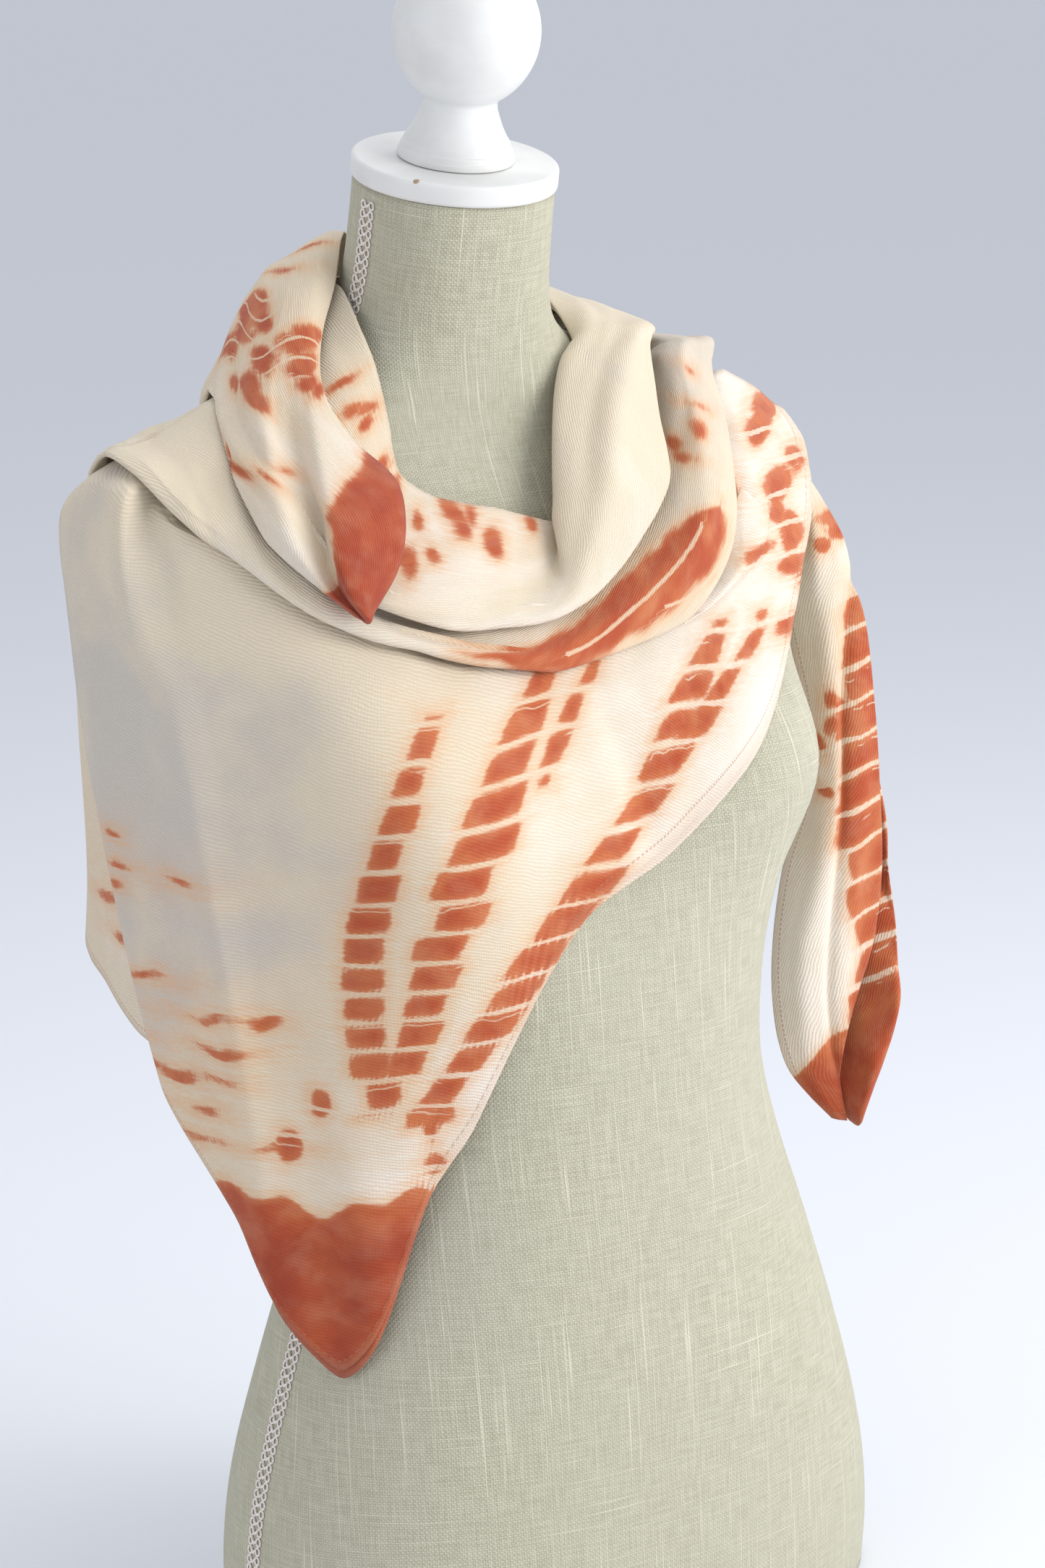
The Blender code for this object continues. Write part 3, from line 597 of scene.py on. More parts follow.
paint = bpy.data.materials.new("white painted wood")
paint.use_nodes = True
w = Wiring(paint.node_tree)
shader = paint.node_tree.nodes["Principled BSDF"]
at = w.add("ShaderNodeTexCoord").outputs["Object"]
brush = w.noise(at, 1, 3, (60, 60, 900))
cloudy = w.noise(at, 28, 3)
chips = w.noise(at, 210, 2)
colour = w.mix(w.ramp(cloudy, 0.35, 0.7), (0.69, 0.69, 0.67, 1), (0.77, 0.77, 0.75, 1))
worn = w.math("MULTIPLY", w.ramp(chips, 0.74, 0.79), w.ramp(cloudy, 0.55, 0.7))
colour = w.mix(worn, colour, (0.42, 0.33, 0.22, 1))
chip_at = neck_place() @ Vector((-0.0505 * math.cos(0.62), -0.0505 * math.sin(0.62), 0.0112))
far = w.add("ShaderNodeVectorMath", {"operation": "DISTANCE"})
w.put(far.inputs[0], at)
far.inputs[1].default_value = chip_at
ragged = w.math("ADD", far.outputs["Value"], w.math("MULTIPLY", w.noise(at, 420, 2), 0.0022))
colour = w.mix(w.ramp(ragged, 0.0024, 0.0031, 1, 0), colour, (0.36, 0.25, 0.14, 1))
w.put(shader.inputs["Base Color"], colour)
w.put(shader.inputs["Roughness"], w.ramp(cloudy, 0.3, 0.8, 0.32, 0.46))
height = w.math("ADD", brush, w.math("MULTIPLY", worn, -1.5))
bump = w.add("ShaderNodeBump", Height=height, Strength=0.12, Distance=0.0006)
w.put(shader.inputs["Normal"], bump.outputs["Normal"])

low = FIT
high = low + CAP_THICKNESS
cap_corners = [(0, high), (CAP_RADIUS, high), (CAP_RADIUS, low), (0, low)]
cap = turned("painted_cap", rounded(cap_corners, CAP_EDGE), paint)
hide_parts("neck_cap")

foot = high + FIT
neck_height = FINIAL_FOOT[-1][1]
last = math.acos((FINIAL_BALL_HEIGHT - neck_height - 3) / FINIAL_BALL_RADIUS)
ball = []
for step in range(48):
    angle = (math.pi - last) * step / 47
    radius = FINIAL_BALL_RADIUS * math.sin(angle)
    ball.append((radius, foot + FINIAL_BALL_HEIGHT + FINIAL_BALL_RADIUS * 1.03 * math.cos(angle)))
foot_corners = [(radius, foot + height) for radius, height in reversed(FINIAL_FOOT)] + [(0, foot)]
profile = rounded(ball[-2:] + foot_corners, 0.9, 3)
finial = turned("painted_finial", ball[:-2] + profile, paint)
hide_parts("finial")


# The shawl: how a stretch of it is laid.
# One square of fine cashmere twill, folded across its corners and wound once round the neck.
# Each stretch is a sheet of cloth on the form of its solid, lifted off what lies beneath it.
WALL = 1.5 * MM
CLOTH = 0.8 * MM
LAYER_GAP = 1.0 * MM
OFF_FORM = 2.0 * MM
FOLD_RADIUS = 2.8 * MM
FOLD_RETURN = 9 * MM
FLAT_FOLD_AT = (-187, -60, 612)
FLAT_FOLD_REACH = 70 * MM
UNDER_PEEK = 5
SETTLE_ROUNDS = 24
BESIDE = 3 * MM
DEEPEST = 15 * MM


def loft(sections, along, across, closed=False):
    """A grid of points, in metres, through sections given in millimetres."""
    rows = np.array([curve(section, across) for section in sections])
    columns = [curve(rows[:, j], along, closed) for j in range(rows.shape[1])]
    return np.stack(columns, axis=1) * MM


def grid_normals(grid, closed=False):
    """Unit normals of a grid, facing away from the form."""
    if closed:
        along = np.roll(grid, -1, 0) - np.roll(grid, 1, 0)
    else:
        along = np.gradient(grid, axis=0)
    normals = np.cross(along, np.gradient(grid, axis=1))
    normals /= np.maximum(np.linalg.norm(normals, axis=2, keepdims=True), 1e-12)
    outward = grid - np.array([-0.02, 0.03, 0])
    outward[..., 2] = 0
    if (normals * outward).sum() < 0:
        normals = -normals
    return normals


def smoothed(field, closed=False):
    """A grid of vectors, each averaged with the ones beside it."""
    padded = np.concatenate([field[:1], field, field[-1:]])
    if closed:
        padded = np.concatenate([field[-1:], field, field[:1]])
    along = (padded[:-2] + 2 * padded[1:-1] + padded[2:]) / 4
    padded = np.concatenate([along[:, :1], along, along[:, -1:]], axis=1)
    return (padded[:, :-2] + 2 * padded[:, 1:-1] + padded[:, 2:]) / 4


def surface(grid, closed=False):
    """A search tree over a grid of points, with its faces turned away from the form."""
    rows, columns = grid.shape[:2]
    normals = grid_normals(grid, closed)
    faces = []
    for i in range(rows if closed else rows - 1):
        for j in range(columns - 1):
            k = (i + 1) % rows
            face = (i * columns + j, k * columns + j, k * columns + j + 1, i * columns + j + 1)
            faces.append(face)
    flat = grid.reshape(-1, 3)
    a, b, c, d = (flat[[face[k] for face in faces]] for k in range(4))
    facing = np.cross(c - a, d - b)
    wanted = np.array([normals.reshape(-1, 3)[face[0]] for face in faces])
    if (facing * wanted).sum() < 0:
        faces = [tuple(reversed(face)) for face in faces]
    return BVHTree.FromPolygons([tuple(p) for p in flat], faces)


def between(grid, closed=False):
    """The grid with a point added halfway along every side and in the middle of every face."""
    if closed:
        grid = np.concatenate([grid, grid[:1]])
    for axis in (0, 1):
        grid = np.moveaxis(grid, axis, 0)
        finer = np.repeat(grid, 2, axis=0)[:-1]
        finer[1::2] = (grid[:-1] + grid[1:]) / 2
        grid = np.moveaxis(finer, 0, axis)
    return grid[:-1] if closed else grid


def settle(grid, below, clearance, closed=False, rounds=SETTLE_ROUNDS, free=0):
    """Lift a grid of cloth off what it lies on, and spread the lift so that it stays smooth.

    below is a list of (search tree, least distance); clearance is added to each distance,
    with one value for each point of the grid. The first `free` rows, which are tucked inside
    the lower layers, keep off the form alone.
    """
    extra = between(clearance[..., None], closed)[..., 0]
    for turn in range(rounds):
        fine = between(grid, closed)
        lifts = np.zeros_like(fine)
        for i in range(fine.shape[0]):
            trees = below[:1] if i < 2 * free else below
            for j in range(fine.shape[1]):
                point = Vector(fine[i, j])
                for tree, least in trees:
                    near, normal, _, distance = tree.find_nearest(point)
                    height = (point - near).dot(normal)
                    beside = math.sqrt(max(distance**2 - height**2, 0))
                    lack = least + extra[i, j] - height
                    if lack > 0 and beside < BESIDE and height > -DEEPEST:
                        point = point + normal * lack
                lifts[i, j] = point - Vector(fine[i, j])
        moves = lifts[::2, ::2].copy()
        for di in (-1, 0, 1):
            for dj in (-1, 0, 1):
                shifted = np.roll(lifts, (di, dj), (0, 1))
                if di and not closed:
                    shifted[0 if di > 0 else -1] = 0
                if dj:
                    shifted[:, 0 if dj > 0 else -1] = 0
                shifted = shifted[::2, ::2]
                larger = (shifted**2).sum(2) > (moves**2).sum(2)
                moves[larger] = shifted[larger]
        if turn < rounds - 6:
            moves = moves * 0.4 + smoothed(moves, closed) * 0.6
        grid = grid + moves
    return grid


def fold_sizes(grid):
    """How full the folded edge is at each section: flat on the shoulder, round elsewhere."""
    away = np.linalg.norm(grid[:, -1] - np.array(FLAT_FOLD_AT) * MM, axis=1)
    return np.clip(away / FLAT_FOLD_REACH, 0.45, 1)


def fold_room(grid):
    """The extra height that the folded-under cloth needs beneath each point."""
    lengths = np.linalg.norm(np.diff(grid, axis=1), axis=2)
    to_edge = np.zeros(grid.shape[:2])
    to_edge[:, :-1] = np.cumsum(lengths[:, ::-1], axis=1)[:, ::-1]
    near = np.clip((FOLD_RETURN + 10 * MM - to_edge) / (8 * MM), 0, 1)
    return (2 * FOLD_RADIUS * fold_sizes(grid) + 0.4 * MM)[:, None] * near


def refined(grid, along, across, closed=False):
    """The grid with smooth points added in between: `along` and `across` steps to each gap."""
    for axis, steps in ((0, along), (1, across)):
        grid = np.moveaxis(grid, axis, 0)
        if closed and axis == 0:
            padded = np.concatenate([grid[-1:], grid, grid[:2]])
        else:
            first, last = 2 * grid[:1] - grid[1:2], 2 * grid[-1:] - grid[-2:-1]
            padded = np.concatenate([first, grid, last])
        p0, p1, p2, p3 = padded[:-3], padded[1:-2], padded[2:-1], padded[3:]
        parts = []
        for step in range(steps):
            t = step / steps
            bend = (2 * p0 - 5 * p1 + 4 * p2 - p3) * t * t + (3 * p1 - p0 - 3 * p2 + p3) * t**3
            parts.append((2 * p1 + (p2 - p0) * t + bend) / 2)
        finer = np.stack(parts, axis=1).reshape(-1, *grid.shape[1:])
        if not (closed and axis == 0):
            finer = np.concatenate([finer, grid[-1:]])
        grid = np.moveaxis(finer, 0, axis)
    return grid


def cloth_place(grid):
    """Each point's place on the flat cloth in millimetres: along, and across from the first edge."""
    steps = np.linalg.norm(np.diff(grid, axis=0), axis=2)
    along = np.concatenate([np.zeros((1, grid.shape[1])), np.cumsum(steps, axis=0)])
    steps = np.linalg.norm(np.diff(grid, axis=1), axis=2)
    across = np.concatenate([np.zeros((grid.shape[0], 1)), np.cumsum(steps, axis=1)], axis=1)
    return along / MM, across / MM


def ripples(along, across, table):
    """Heights of soft ridges and troughs, in millimetres, added up over the cloth.

    Each row: along, across, direction in degrees, half length, half width, height.
    """
    total = np.zeros_like(along)
    for at_along, at_across, turn, half_length, half_width, height in table:
        turn = math.radians(turn)
        ahead = (along - at_along) * math.cos(turn) + (across - at_across) * math.sin(turn)
        aside = (across - at_across) * math.cos(turn) - (along - at_along) * math.sin(turn)
        aside = aside + 0.10 * half_width * np.sin(ahead / half_length * 4)
        total += height * np.exp(-((ahead / half_length) ** 2) - (aside / half_width) ** 2)
    return total


def wandering(x, y, reach):
    """The places x and y, each moved a little, so that shapes drawn on them have uneven outlines."""
    moved_x = x + reach * (np.sin(x / 7.3 + 1.7 * np.sin(y / 9.1)) + 0.7 * np.sin(y / 4.9 + x / 13))
    moved_y = y + reach * (np.sin(y / 6.7 + 1.9 * np.sin(x / 8.3)) + 0.7 * np.sin(x / 4.3 + y / 11))
    return moved_x, moved_y


def spots(x, y, table, reach=1.3):
    """How far inside a dyed spot each point lies, in millimetres: x, y, half width, half height."""
    x, y = wandering(x, y, reach)
    deep = np.full(x.shape, -40.0)
    for at_x, at_y, half_width, half_height in table:
        far = np.sqrt(((x - at_x) / half_width) ** 2 + ((y - at_y) / half_height) ** 2)
        deep = np.maximum(deep, (1 - far) * min(half_width, half_height))
    return deep


def tie_line(along, across, points):
    """Distance from a given tie line, in millimetres, with a sign for its side."""
    points = np.array(points, float)
    height = np.interp(along, points[:, 0], points[:, 1])
    slope = np.gradient(points[:, 1], points[:, 0])
    slant = np.sqrt(1 + np.interp(along, points[:, 0], slope) ** 2)
    aside = (across - height) / slant
    past = np.maximum(np.maximum(points[0, 0] - along, along - points[-1, 0]), 0)
    return np.sign(aside) * np.sqrt(aside**2 + (past * 4) ** 2)


def eased(value, low, high):
    part = np.clip((value - low) / (high - low), 0, 1)
    return part * part * (3 - 2 * part)


def glow(x, y, table):
    """Soft clouds of pale dye: x, y, half width, half height, strength."""
    total = np.zeros_like(x)
    for at_x, at_y, half_width, half_height, strength in table:
        far = ((x - at_x) / half_width) ** 2 + ((y - at_y) / half_height) ** 2
        total = np.maximum(total, strength * np.exp(-far))
    return total


TIE_PITCH = 15.5


def dyed_band(x, y, ties, points, seed):
    """Depth inside a band of dye whose middle and half width follow points (x, y, half width).

    Between one tie line and the next, the dye has spread by its own amount, so the band is a
    column of blocks.
    """
    chance = np.random.default_rng(seed)
    order = sorted(points, key=lambda point: point[1])
    xs, ys, widths = (np.array([point[k] for point in order], float) for k in range(3))
    cell = np.floor(ties).astype(int)
    low = cell.min()
    shifts = chance.normal(0, 1.6, cell.max() - low + 1)
    spread = chance.uniform(0.86, 1.16, cell.max() - low + 1)
    middle = np.interp(y, ys, xs) + shifts[cell - low]
    half = np.interp(y, ys, widths) * spread[cell - low]
    gaps = chance.uniform(0.2, 1.7, cell.max() - low + 1)[cell - low]
    part = ties - np.floor(ties)
    to_tie = np.minimum(part, 1 - part) * TIE_PITCH - gaps
    inside = both(half - np.abs(x - middle), to_tie, 3.0)
    ends = np.minimum(y - (ys[0] - 5), (ys[-1] + 5) - y)
    return np.minimum(inside, ends)


def both(a, b, round_off):
    """The lesser of two depths, rounded where they meet so that blocks have soft corners."""
    near = np.clip(0.5 + (b - a) / (2 * round_off), 0, 1)
    return b * (1 - near) + a * near - round_off * near * (1 - near)


def lay(sections, along, across, fine, below, fine_below, closed=False, fold=True, free=0,
        folds=None, relief=None, facing=None):
    """A settled, refined grid of cloth, with the search trees that the next layers need."""
    grid = loft(sections, along, across, closed)
    clear = np.zeros(grid.shape[:2])
    if fold:
        clear = fold_room(grid)
    grid = settle(grid, below, clear, closed, free=free)
    tree = (surface(grid, closed), WALL + LAYER_GAP)
    grid = refined(grid, fine[0], fine[1], closed)
    start_along, start_across = cloth_place(grid)
    middle = np.repeat(start_along[:, grid.shape[1] // 2][:, None], grid.shape[1], axis=1)
    height = ripples(middle, start_across, folds or ())
    if relief:
        height = height + relief(grid / MM)
    normals = smoothed(grid_normals(grid, closed), closed)
    if facing is not None and (normals @ np.array(facing)).sum() < 0:
        normals = -normals
    grid = grid + normals * height[..., None] * MM
    if fine_below:
        grid = clear_of(grid, fine_below, closed)
    return grid, tree


def clear_of(grid, below, closed=False):
    """A last light lift of a fine grid off the fine layers beneath it."""
    for turn in range(4):
        lifts = np.zeros_like(grid)
        for i in range(grid.shape[0]):
            for j in range(grid.shape[1]):
                point = Vector(grid[i, j])
                for tree, least in below:
                    near, normal, _, distance = tree.find_nearest(point, 0.012)
                    if near is None:
                        continue
                    height = (point - near).dot(normal)
                    beside = math.sqrt(max(distance**2 - height**2, 0))
                    if height < least and beside < BESIDE:
                        point = point + normal * (least - height)
                lifts[i, j] = point - Vector(grid[i, j])
        grid = grid + (lifts * 0.5 + smoothed(lifts, closed) * 0.5 if turn < 2 else lifts)
    return grid


def build_twill():
    """Fine diagonal ribs with a soft nap, from a cloth's place in metres."""
    group, start, end = node_group(
        "twill",
        [("Place", "NodeSocketVector", None), ("Pitch", "NodeSocketFloat", 0.0014)],
        [("Height", "NodeSocketFloat"), ("Shade", "NodeSocketFloat")],
    )
    w = Wiring(group)
    split = w.add("ShaderNodeSeparateXYZ", Vector=start.outputs["Place"])
    lean = w.math("MULTIPLY", split.outputs["X"], 0.36)
    slant = w.math("ADD", split.outputs["Y"], lean)
    slow = w.noise(start.outputs["Place"], 26, 2)
    fast = w.noise(start.outputs["Place"], 420, 2)
    bend = w.math("MULTIPLY", w.math("SUBTRACT", slow, 0.5), 0.010)
    slant = w.math("ADD", slant, bend)
    per = w.math("DIVIDE", 2 * math.pi, start.outputs["Pitch"])
    turns = w.math("ADD", w.math("MULTIPLY", slant, per), w.math("MULTIPLY", fast, 4.2))
    rib = w.math("SINE", turns)
    cross = w.math("SINE", w.math("MULTIPLY", split.outputs["X"], 2 * math.pi / 0.0011))
    rib = w.math("ADD", rib, w.math("MULTIPLY", cross, 0.22))
    nap = w.noise(start.outputs["Place"], 1500, 2)
    height = w.math("ADD", w.math("MULTIPLY", rib, 0.5), w.math("MULTIPLY", nap, 0.9))
    w.put(end.inputs["Height"], height)
    w.put(end.inputs["Shade"], w.math("ADD", w.math("MULTIPLY", rib, 0.5), 0.5))
    return group


def build_resist():
    """Tie-resist dye from values on the cloth, in millimetres.

    Depth is how far inside the dye a point lies. Ties counts the tie lines, one unit each.
    Cut is the distance from a given tie line. Haze is the pale dye around.
    """
    group, start, end = node_group(
        "tie resist",
        [
            ("Place", "NodeSocketVector", None),
            ("Depth", "NodeSocketFloat", 0.0),
            ("Ties", "NodeSocketFloat", 0.0),
            ("Cut", "NodeSocketFloat", 0.0),
            ("Tied", "NodeSocketFloat", 0.0),
            ("Haze", "NodeSocketFloat", 0.0),
            ("Ragged", "NodeSocketFloat", 2.4),
            ("Soft", "NodeSocketFloat", 1.0),
        ],
        [("Dye", "NodeSocketFloat"), ("Halo", "NodeSocketFloat"), ("Haze", "NodeSocketFloat")],
    )
    w = Wiring(group)
    at = start.outputs["Place"]
    streak = w.noise(at, 1, 3, (55, 620, 1), 0.6)
    blot = w.noise(at, 130, 3, None, 0.6)
    rough = w.math("ADD", w.math("MULTIPLY", streak, 0.55), w.math("MULTIPLY", blot, 0.45))
    rough = w.math("MULTIPLY", w.math("SUBTRACT", rough, 0.5), start.outputs["Ragged"])
    depth = w.math("ADD", start.outputs["Depth"], w.math("MULTIPLY", rough, 2.4))
    dye = w.ramp(w.math("DIVIDE", depth, start.outputs["Soft"]), -0.9, 1.5)
    wander = w.noise(at, 42, 2)
    jitter = w.noise(at, 260, 2)
    ties = w.math("ADD", start.outputs["Ties"], w.math("MULTIPLY", w.math("SUBTRACT", wander, 0.5), 0.16))
    ties = w.math("ADD", ties, w.math("MULTIPLY", w.math("SUBTRACT", jitter, 0.5), 0.07))
    near = w.math("ABSOLUTE", w.math("SUBTRACT", ties, w.math("ROUND", ties)))
    thick = w.ramp(w.noise(at, 30, 2), 0.35, 0.65, 0.07, 0.13)
    line = w.math("SUBTRACT", 1.0, w.math("DIVIDE", near, thick), True)
    line = w.ramp(line, 0.05, 0.45)
    second = w.math("ADD", ties, w.ramp(wander, 0.4, 0.6, 0.17, 0.30))
    near = w.math("ABSOLUTE", w.math("SUBTRACT", second, w.math("ROUND", second)))
    again = w.math("SUBTRACT", 1.0, w.math("DIVIDE", near, 0.038), True)
    some = w.ramp(w.noise(at, 1, 1, (9, 70, 1)), 0.56, 0.60)
    again = w.math("MULTIPLY", w.ramp(again, 0.05, 0.6), some)
    line = w.math("MULTIPLY", w.math("MAXIMUM", line, w.math("MULTIPLY", again, 0.8)), start.outputs["Tied"])
    cut = w.math("ADD", start.outputs["Cut"], w.math("MULTIPLY", w.math("SUBTRACT", jitter, 0.5), 1.4))
    cut = w.ramp(w.math("ABSOLUTE", cut), 0.5, 1.5, 1, 0)
    resist = w.math("MAXIMUM", line, cut)
    kept = w.math("SUBTRACT", 1.0, w.math("MULTIPLY", resist, 0.86))
    uneven = w.ramp(w.noise(at, 75, 3), 0.25, 0.6, 0.90, 1.0)
    w.put(end.inputs["Dye"], w.math("MULTIPLY", w.math("MULTIPLY", dye, kept), uneven))
    halo = w.ramp(w.math("ADD", depth, w.math("MULTIPLY", rough, 1.5)), -7.0, 0.5)
    w.put(end.inputs["Halo"], w.math("MULTIPLY", halo, w.math("ADD", w.math("MULTIPLY", kept, 0.7), 0.3)))
    cloud = w.math("ADD", w.ramp(streak, 0.25, 0.75, 0.35, 1.25), 0)
    w.put(end.inputs["Haze"], w.math("MULTIPLY", start.outputs["Haze"], cloud, True))
    return group


TWILL = build_twill()
RESIST = build_resist()
GREY_CREAM = (0.560, 0.515, 0.455, 1)
WARM_CREAM = (0.700, 0.610, 0.465, 1)
WHITE_CREAM = (0.800, 0.735, 0.650, 1)
PEACH = (0.720, 0.400, 0.200, 1)
ORANGE = (0.560, 0.170, 0.062, 1)
TERRACOTTA = (0.430, 0.075, 0.026, 1)
RUST = (0.300, 0.040, 0.018, 1)
STITCH_FROM_EDGE = 4.6


def cashmere(name, ragged=2.4, soft=1.0):
    """The dyed cashmere of one stretch, reading its values: dye, ties, cut, haze, the ground's tone with
    painted light and shade, hem.
    """
    look = bpy.data.materials.new(name)
    look.use_nodes = True
    w = Wiring(look.node_tree)
    shader = look.node_tree.nodes["Principled BSDF"]
    place = w.add("ShaderNodeUVMap", {"uv_map": "UVMap"}).outputs["UV"]
    value = {}
    for mark in ("dye", "ties", "tied", "cut", "haze", "tone_and_painted_light", "hem", "deep"):
        value[mark] = w.add("ShaderNodeAttribute", {"attribute_name": mark}).outputs["Fac"]
    resist = w.add("ShaderNodeGroup", {"node_tree": RESIST}, Place=place)
    for socket in ("Ties", "Tied", "Cut", "Haze"):
        w.put(resist.inputs[socket], value[socket.lower()])
    w.put(resist.inputs["Depth"], value["dye"])
    resist.inputs["Ragged"].default_value = ragged
    resist.inputs["Soft"].default_value = soft
    twill = w.add("ShaderNodeGroup", {"node_tree": TWILL}, Place=place, Pitch=0.00172)
    # The tint value takes the ground from grey cream through warm cream to white cream: partly the cloth's
    # own uneven tone, partly painted light and shade, paler where light falls and greyer where it doesn't.
    mottle = w.noise(place, 21, 4)
    tone_and_painted_light = w.math("ADD", value["tone_and_painted_light"], w.math("MULTIPLY", w.math("SUBTRACT", mottle, 0.5), 0.9))
    colour = w.mix(w.ramp(tone_and_painted_light, 0.0, 0.5), GREY_CREAM, WARM_CREAM)
    colour = w.mix(w.ramp(tone_and_painted_light, 0.5, 1.0), colour, WHITE_CREAM)
    stain = w.noise(place, 55, 4, None, 0.65)
    colour = w.mix(w.ramp(stain, 0.62, 0.8, 0, 0.28), colour, (0.72, 0.56, 0.36, 1))
    colour = w.mix(resist.outputs["Haze"], colour, PEACH)
    colour = w.mix(w.math("MULTIPLY", resist.outputs["Halo"], 0.40), colour, PEACH)
    shade = w.noise(place, 48, 4)
    dyed = w.mix(w.ramp(shade, 0.25, 0.62, 0.15, 1.0), ORANGE, TERRACOTTA)
    dyed = w.mix(w.ramp(value["dye"], 0.5, 5.0, 0.35, 1.0), ORANGE, dyed)
    dyed = w.mix(value["deep"], dyed, w.mix(w.ramp(shade, 0.3, 0.7, 0.25, 0.9), TERRACOTTA, RUST))
    colour = w.mix(resist.outputs["Dye"], colour, dyed)
    ribs = w.ramp(twill.outputs["Shade"], 0.0, 1.0, 0.915, 1.025)
    grey = w.add("ShaderNodeCombineColor", Red=ribs, Green=ribs, Blue=ribs).outputs["Color"]
    colour = w.mix(1.0, colour, grey, "MULTIPLY")
    edge = w.math("SUBTRACT", 1.0, w.math("DIVIDE", value["hem"], 6.0), True)
    colour = w.mix(w.ramp(edge, 0.0, 0.9, 0, 0.22), colour, (0.48, 0.26, 0.15, 1))
    row = w.math("ABSOLUTE", w.math("SUBTRACT", value["hem"], STITCH_FROM_EDGE))
    along = w.add("ShaderNodeSeparateXYZ", Vector=place).outputs["X"]
    each = w.math("SINE", w.math("MULTIPLY", along, 2 * math.pi / 0.0026))
    stitch = w.math("MULTIPLY", w.ramp(row, 0.25, 0.7, 1, 0), w.ramp(each, -0.5, 0.1))
    colour = w.mix(w.math("MULTIPLY", stitch, 0.55), colour, (0.42, 0.17, 0.08, 1))
    w.put(shader.inputs["Base Color"], colour)
    shader.inputs["Roughness"].default_value = 0.86
    shader.inputs["Specular IOR Level"].default_value = 0.22
    shader.inputs["Sheen Weight"].default_value = 0.14
    shader.inputs["Sheen Roughness"].default_value = 0.55
    hem_height = w.math("MULTIPLY", w.ramp(value["hem"], 4.8, 6.2, 1, 0), 1.6)
    height = w.math("ADD", twill.outputs["Height"], hem_height)
    height = w.math("SUBTRACT", height, w.math("MULTIPLY", stitch, 1.2))
    height = w.math("ADD", height, w.math("MULTIPLY", w.noise(place, 60, 3), 2.0))
    bump = w.add("ShaderNodeBump", Height=height, Strength=0.42, Distance=0.0005)
    w.put(shader.inputs["Normal"], bump.outputs["Normal"])
    return look


def finish_cloth(name, node, grid, marks, look, closed=False, weave=None):
    """weave is each point's place on the flat cloth, where that isn't measured from the grid.
    """
    along, across = weave or cloth_place(grid)
    for mark in ("dye", "cut"):
        marks.setdefault(mark, np.full(grid.shape[:2], -40.0 if mark == "dye" else 40.0))
    marks.setdefault("hem", np.full(grid.shape[:2], 40.0))
    for mark in ("ties", "tied", "haze", "deep"):
        marks.setdefault(mark, np.zeros(grid.shape[:2]))
    marks.setdefault("tone_and_painted_light", np.full(grid.shape[:2], 0.5))
    piece = cloth_grid(name, grid, along, across, marks, closed)
    piece.data.materials.append(look)
    wall = piece.modifiers.new("Wall", "SOLIDIFY")
    wall.thickness = CLOTH
    wall.offset = 0
    wall.use_even_offset = False
    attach(piece, "root")
    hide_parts(node)
    return piece


def with_fold(values, columns):
    """Repeats the last column of a grid of values for the columns of a turned-under edge."""
    extra = np.repeat(values[:, -1:], columns, axis=1)
    return np.concatenate([values, extra], axis=1)


carrier = bmesh.new()
carrier.from_mesh(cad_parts["form_torso"].data)
base = BVHTree.FromBMesh(carrier)
carrier.free()
on_form = [(base, OFF_FORM)]
thin = CLOTH + 0.35 * MM
fine_on_form = [(base, 1.2 * MM)]


def pattern_place(grid, middle):
    """Length along one column, and length across from the first edge, in millimetres."""
    along, across = cloth_place(grid)
    column = round(middle * (grid.shape[1] - 1))
    return np.repeat(along[:, column][:, None], grid.shape[1], axis=1), across


def folded(grid, closed=False, fullness=0.85):
    """The grid with its last edge turned under in a round fold and run back beneath."""
    normals = grid_normals(grid, closed)
    ahead = np.diff(grid, axis=1)[:, -4:].mean(axis=1)
    outward = normals[:, -3:].mean(axis=1)
    for _ in range(6):
        ahead = smoothed(ahead[:, None], closed)[:, 0]
        outward = smoothed(outward[:, None], closed)[:, 0]
    ahead /= np.linalg.norm(ahead, axis=1, keepdims=True)
    outward -= ahead * (outward * ahead).sum(axis=1, keepdims=True)
    outward /= np.linalg.norm(outward, axis=1, keepdims=True)
    radius = (fullness * FOLD_RADIUS * fold_sizes(grid))[:, None]
    edge = grid[:, -1]
    added = []
    for angle in np.linspace(0, math.pi, 9)[1:]:
        added.append(edge + radius * (ahead * math.sin(angle) - outward * (1 - math.cos(angle))))
    for back in (0.35, 0.7, 1.0):
        added.append(added[7] - ahead * FOLD_RETURN * back)
    return np.concatenate([grid, np.stack(added, axis=1)], axis=1)


def edge_distance(grid, sides):
    """Millimetres from a hem: sides names any of first, last (rows), start, end (columns)."""
    along, across = cloth_place(grid)
    far = np.full(grid.shape[:2], 40.0)
    if "end" in sides:
        far = np.minimum(far, across[:, -1:] - across)
    if "start" in sides:
        far = np.minimum(far, across)
    if "last" in sides:
        far = np.minimum(far, along[-1:] - along)
    if "first" in sides:
        far = np.minimum(far, along)
    return far


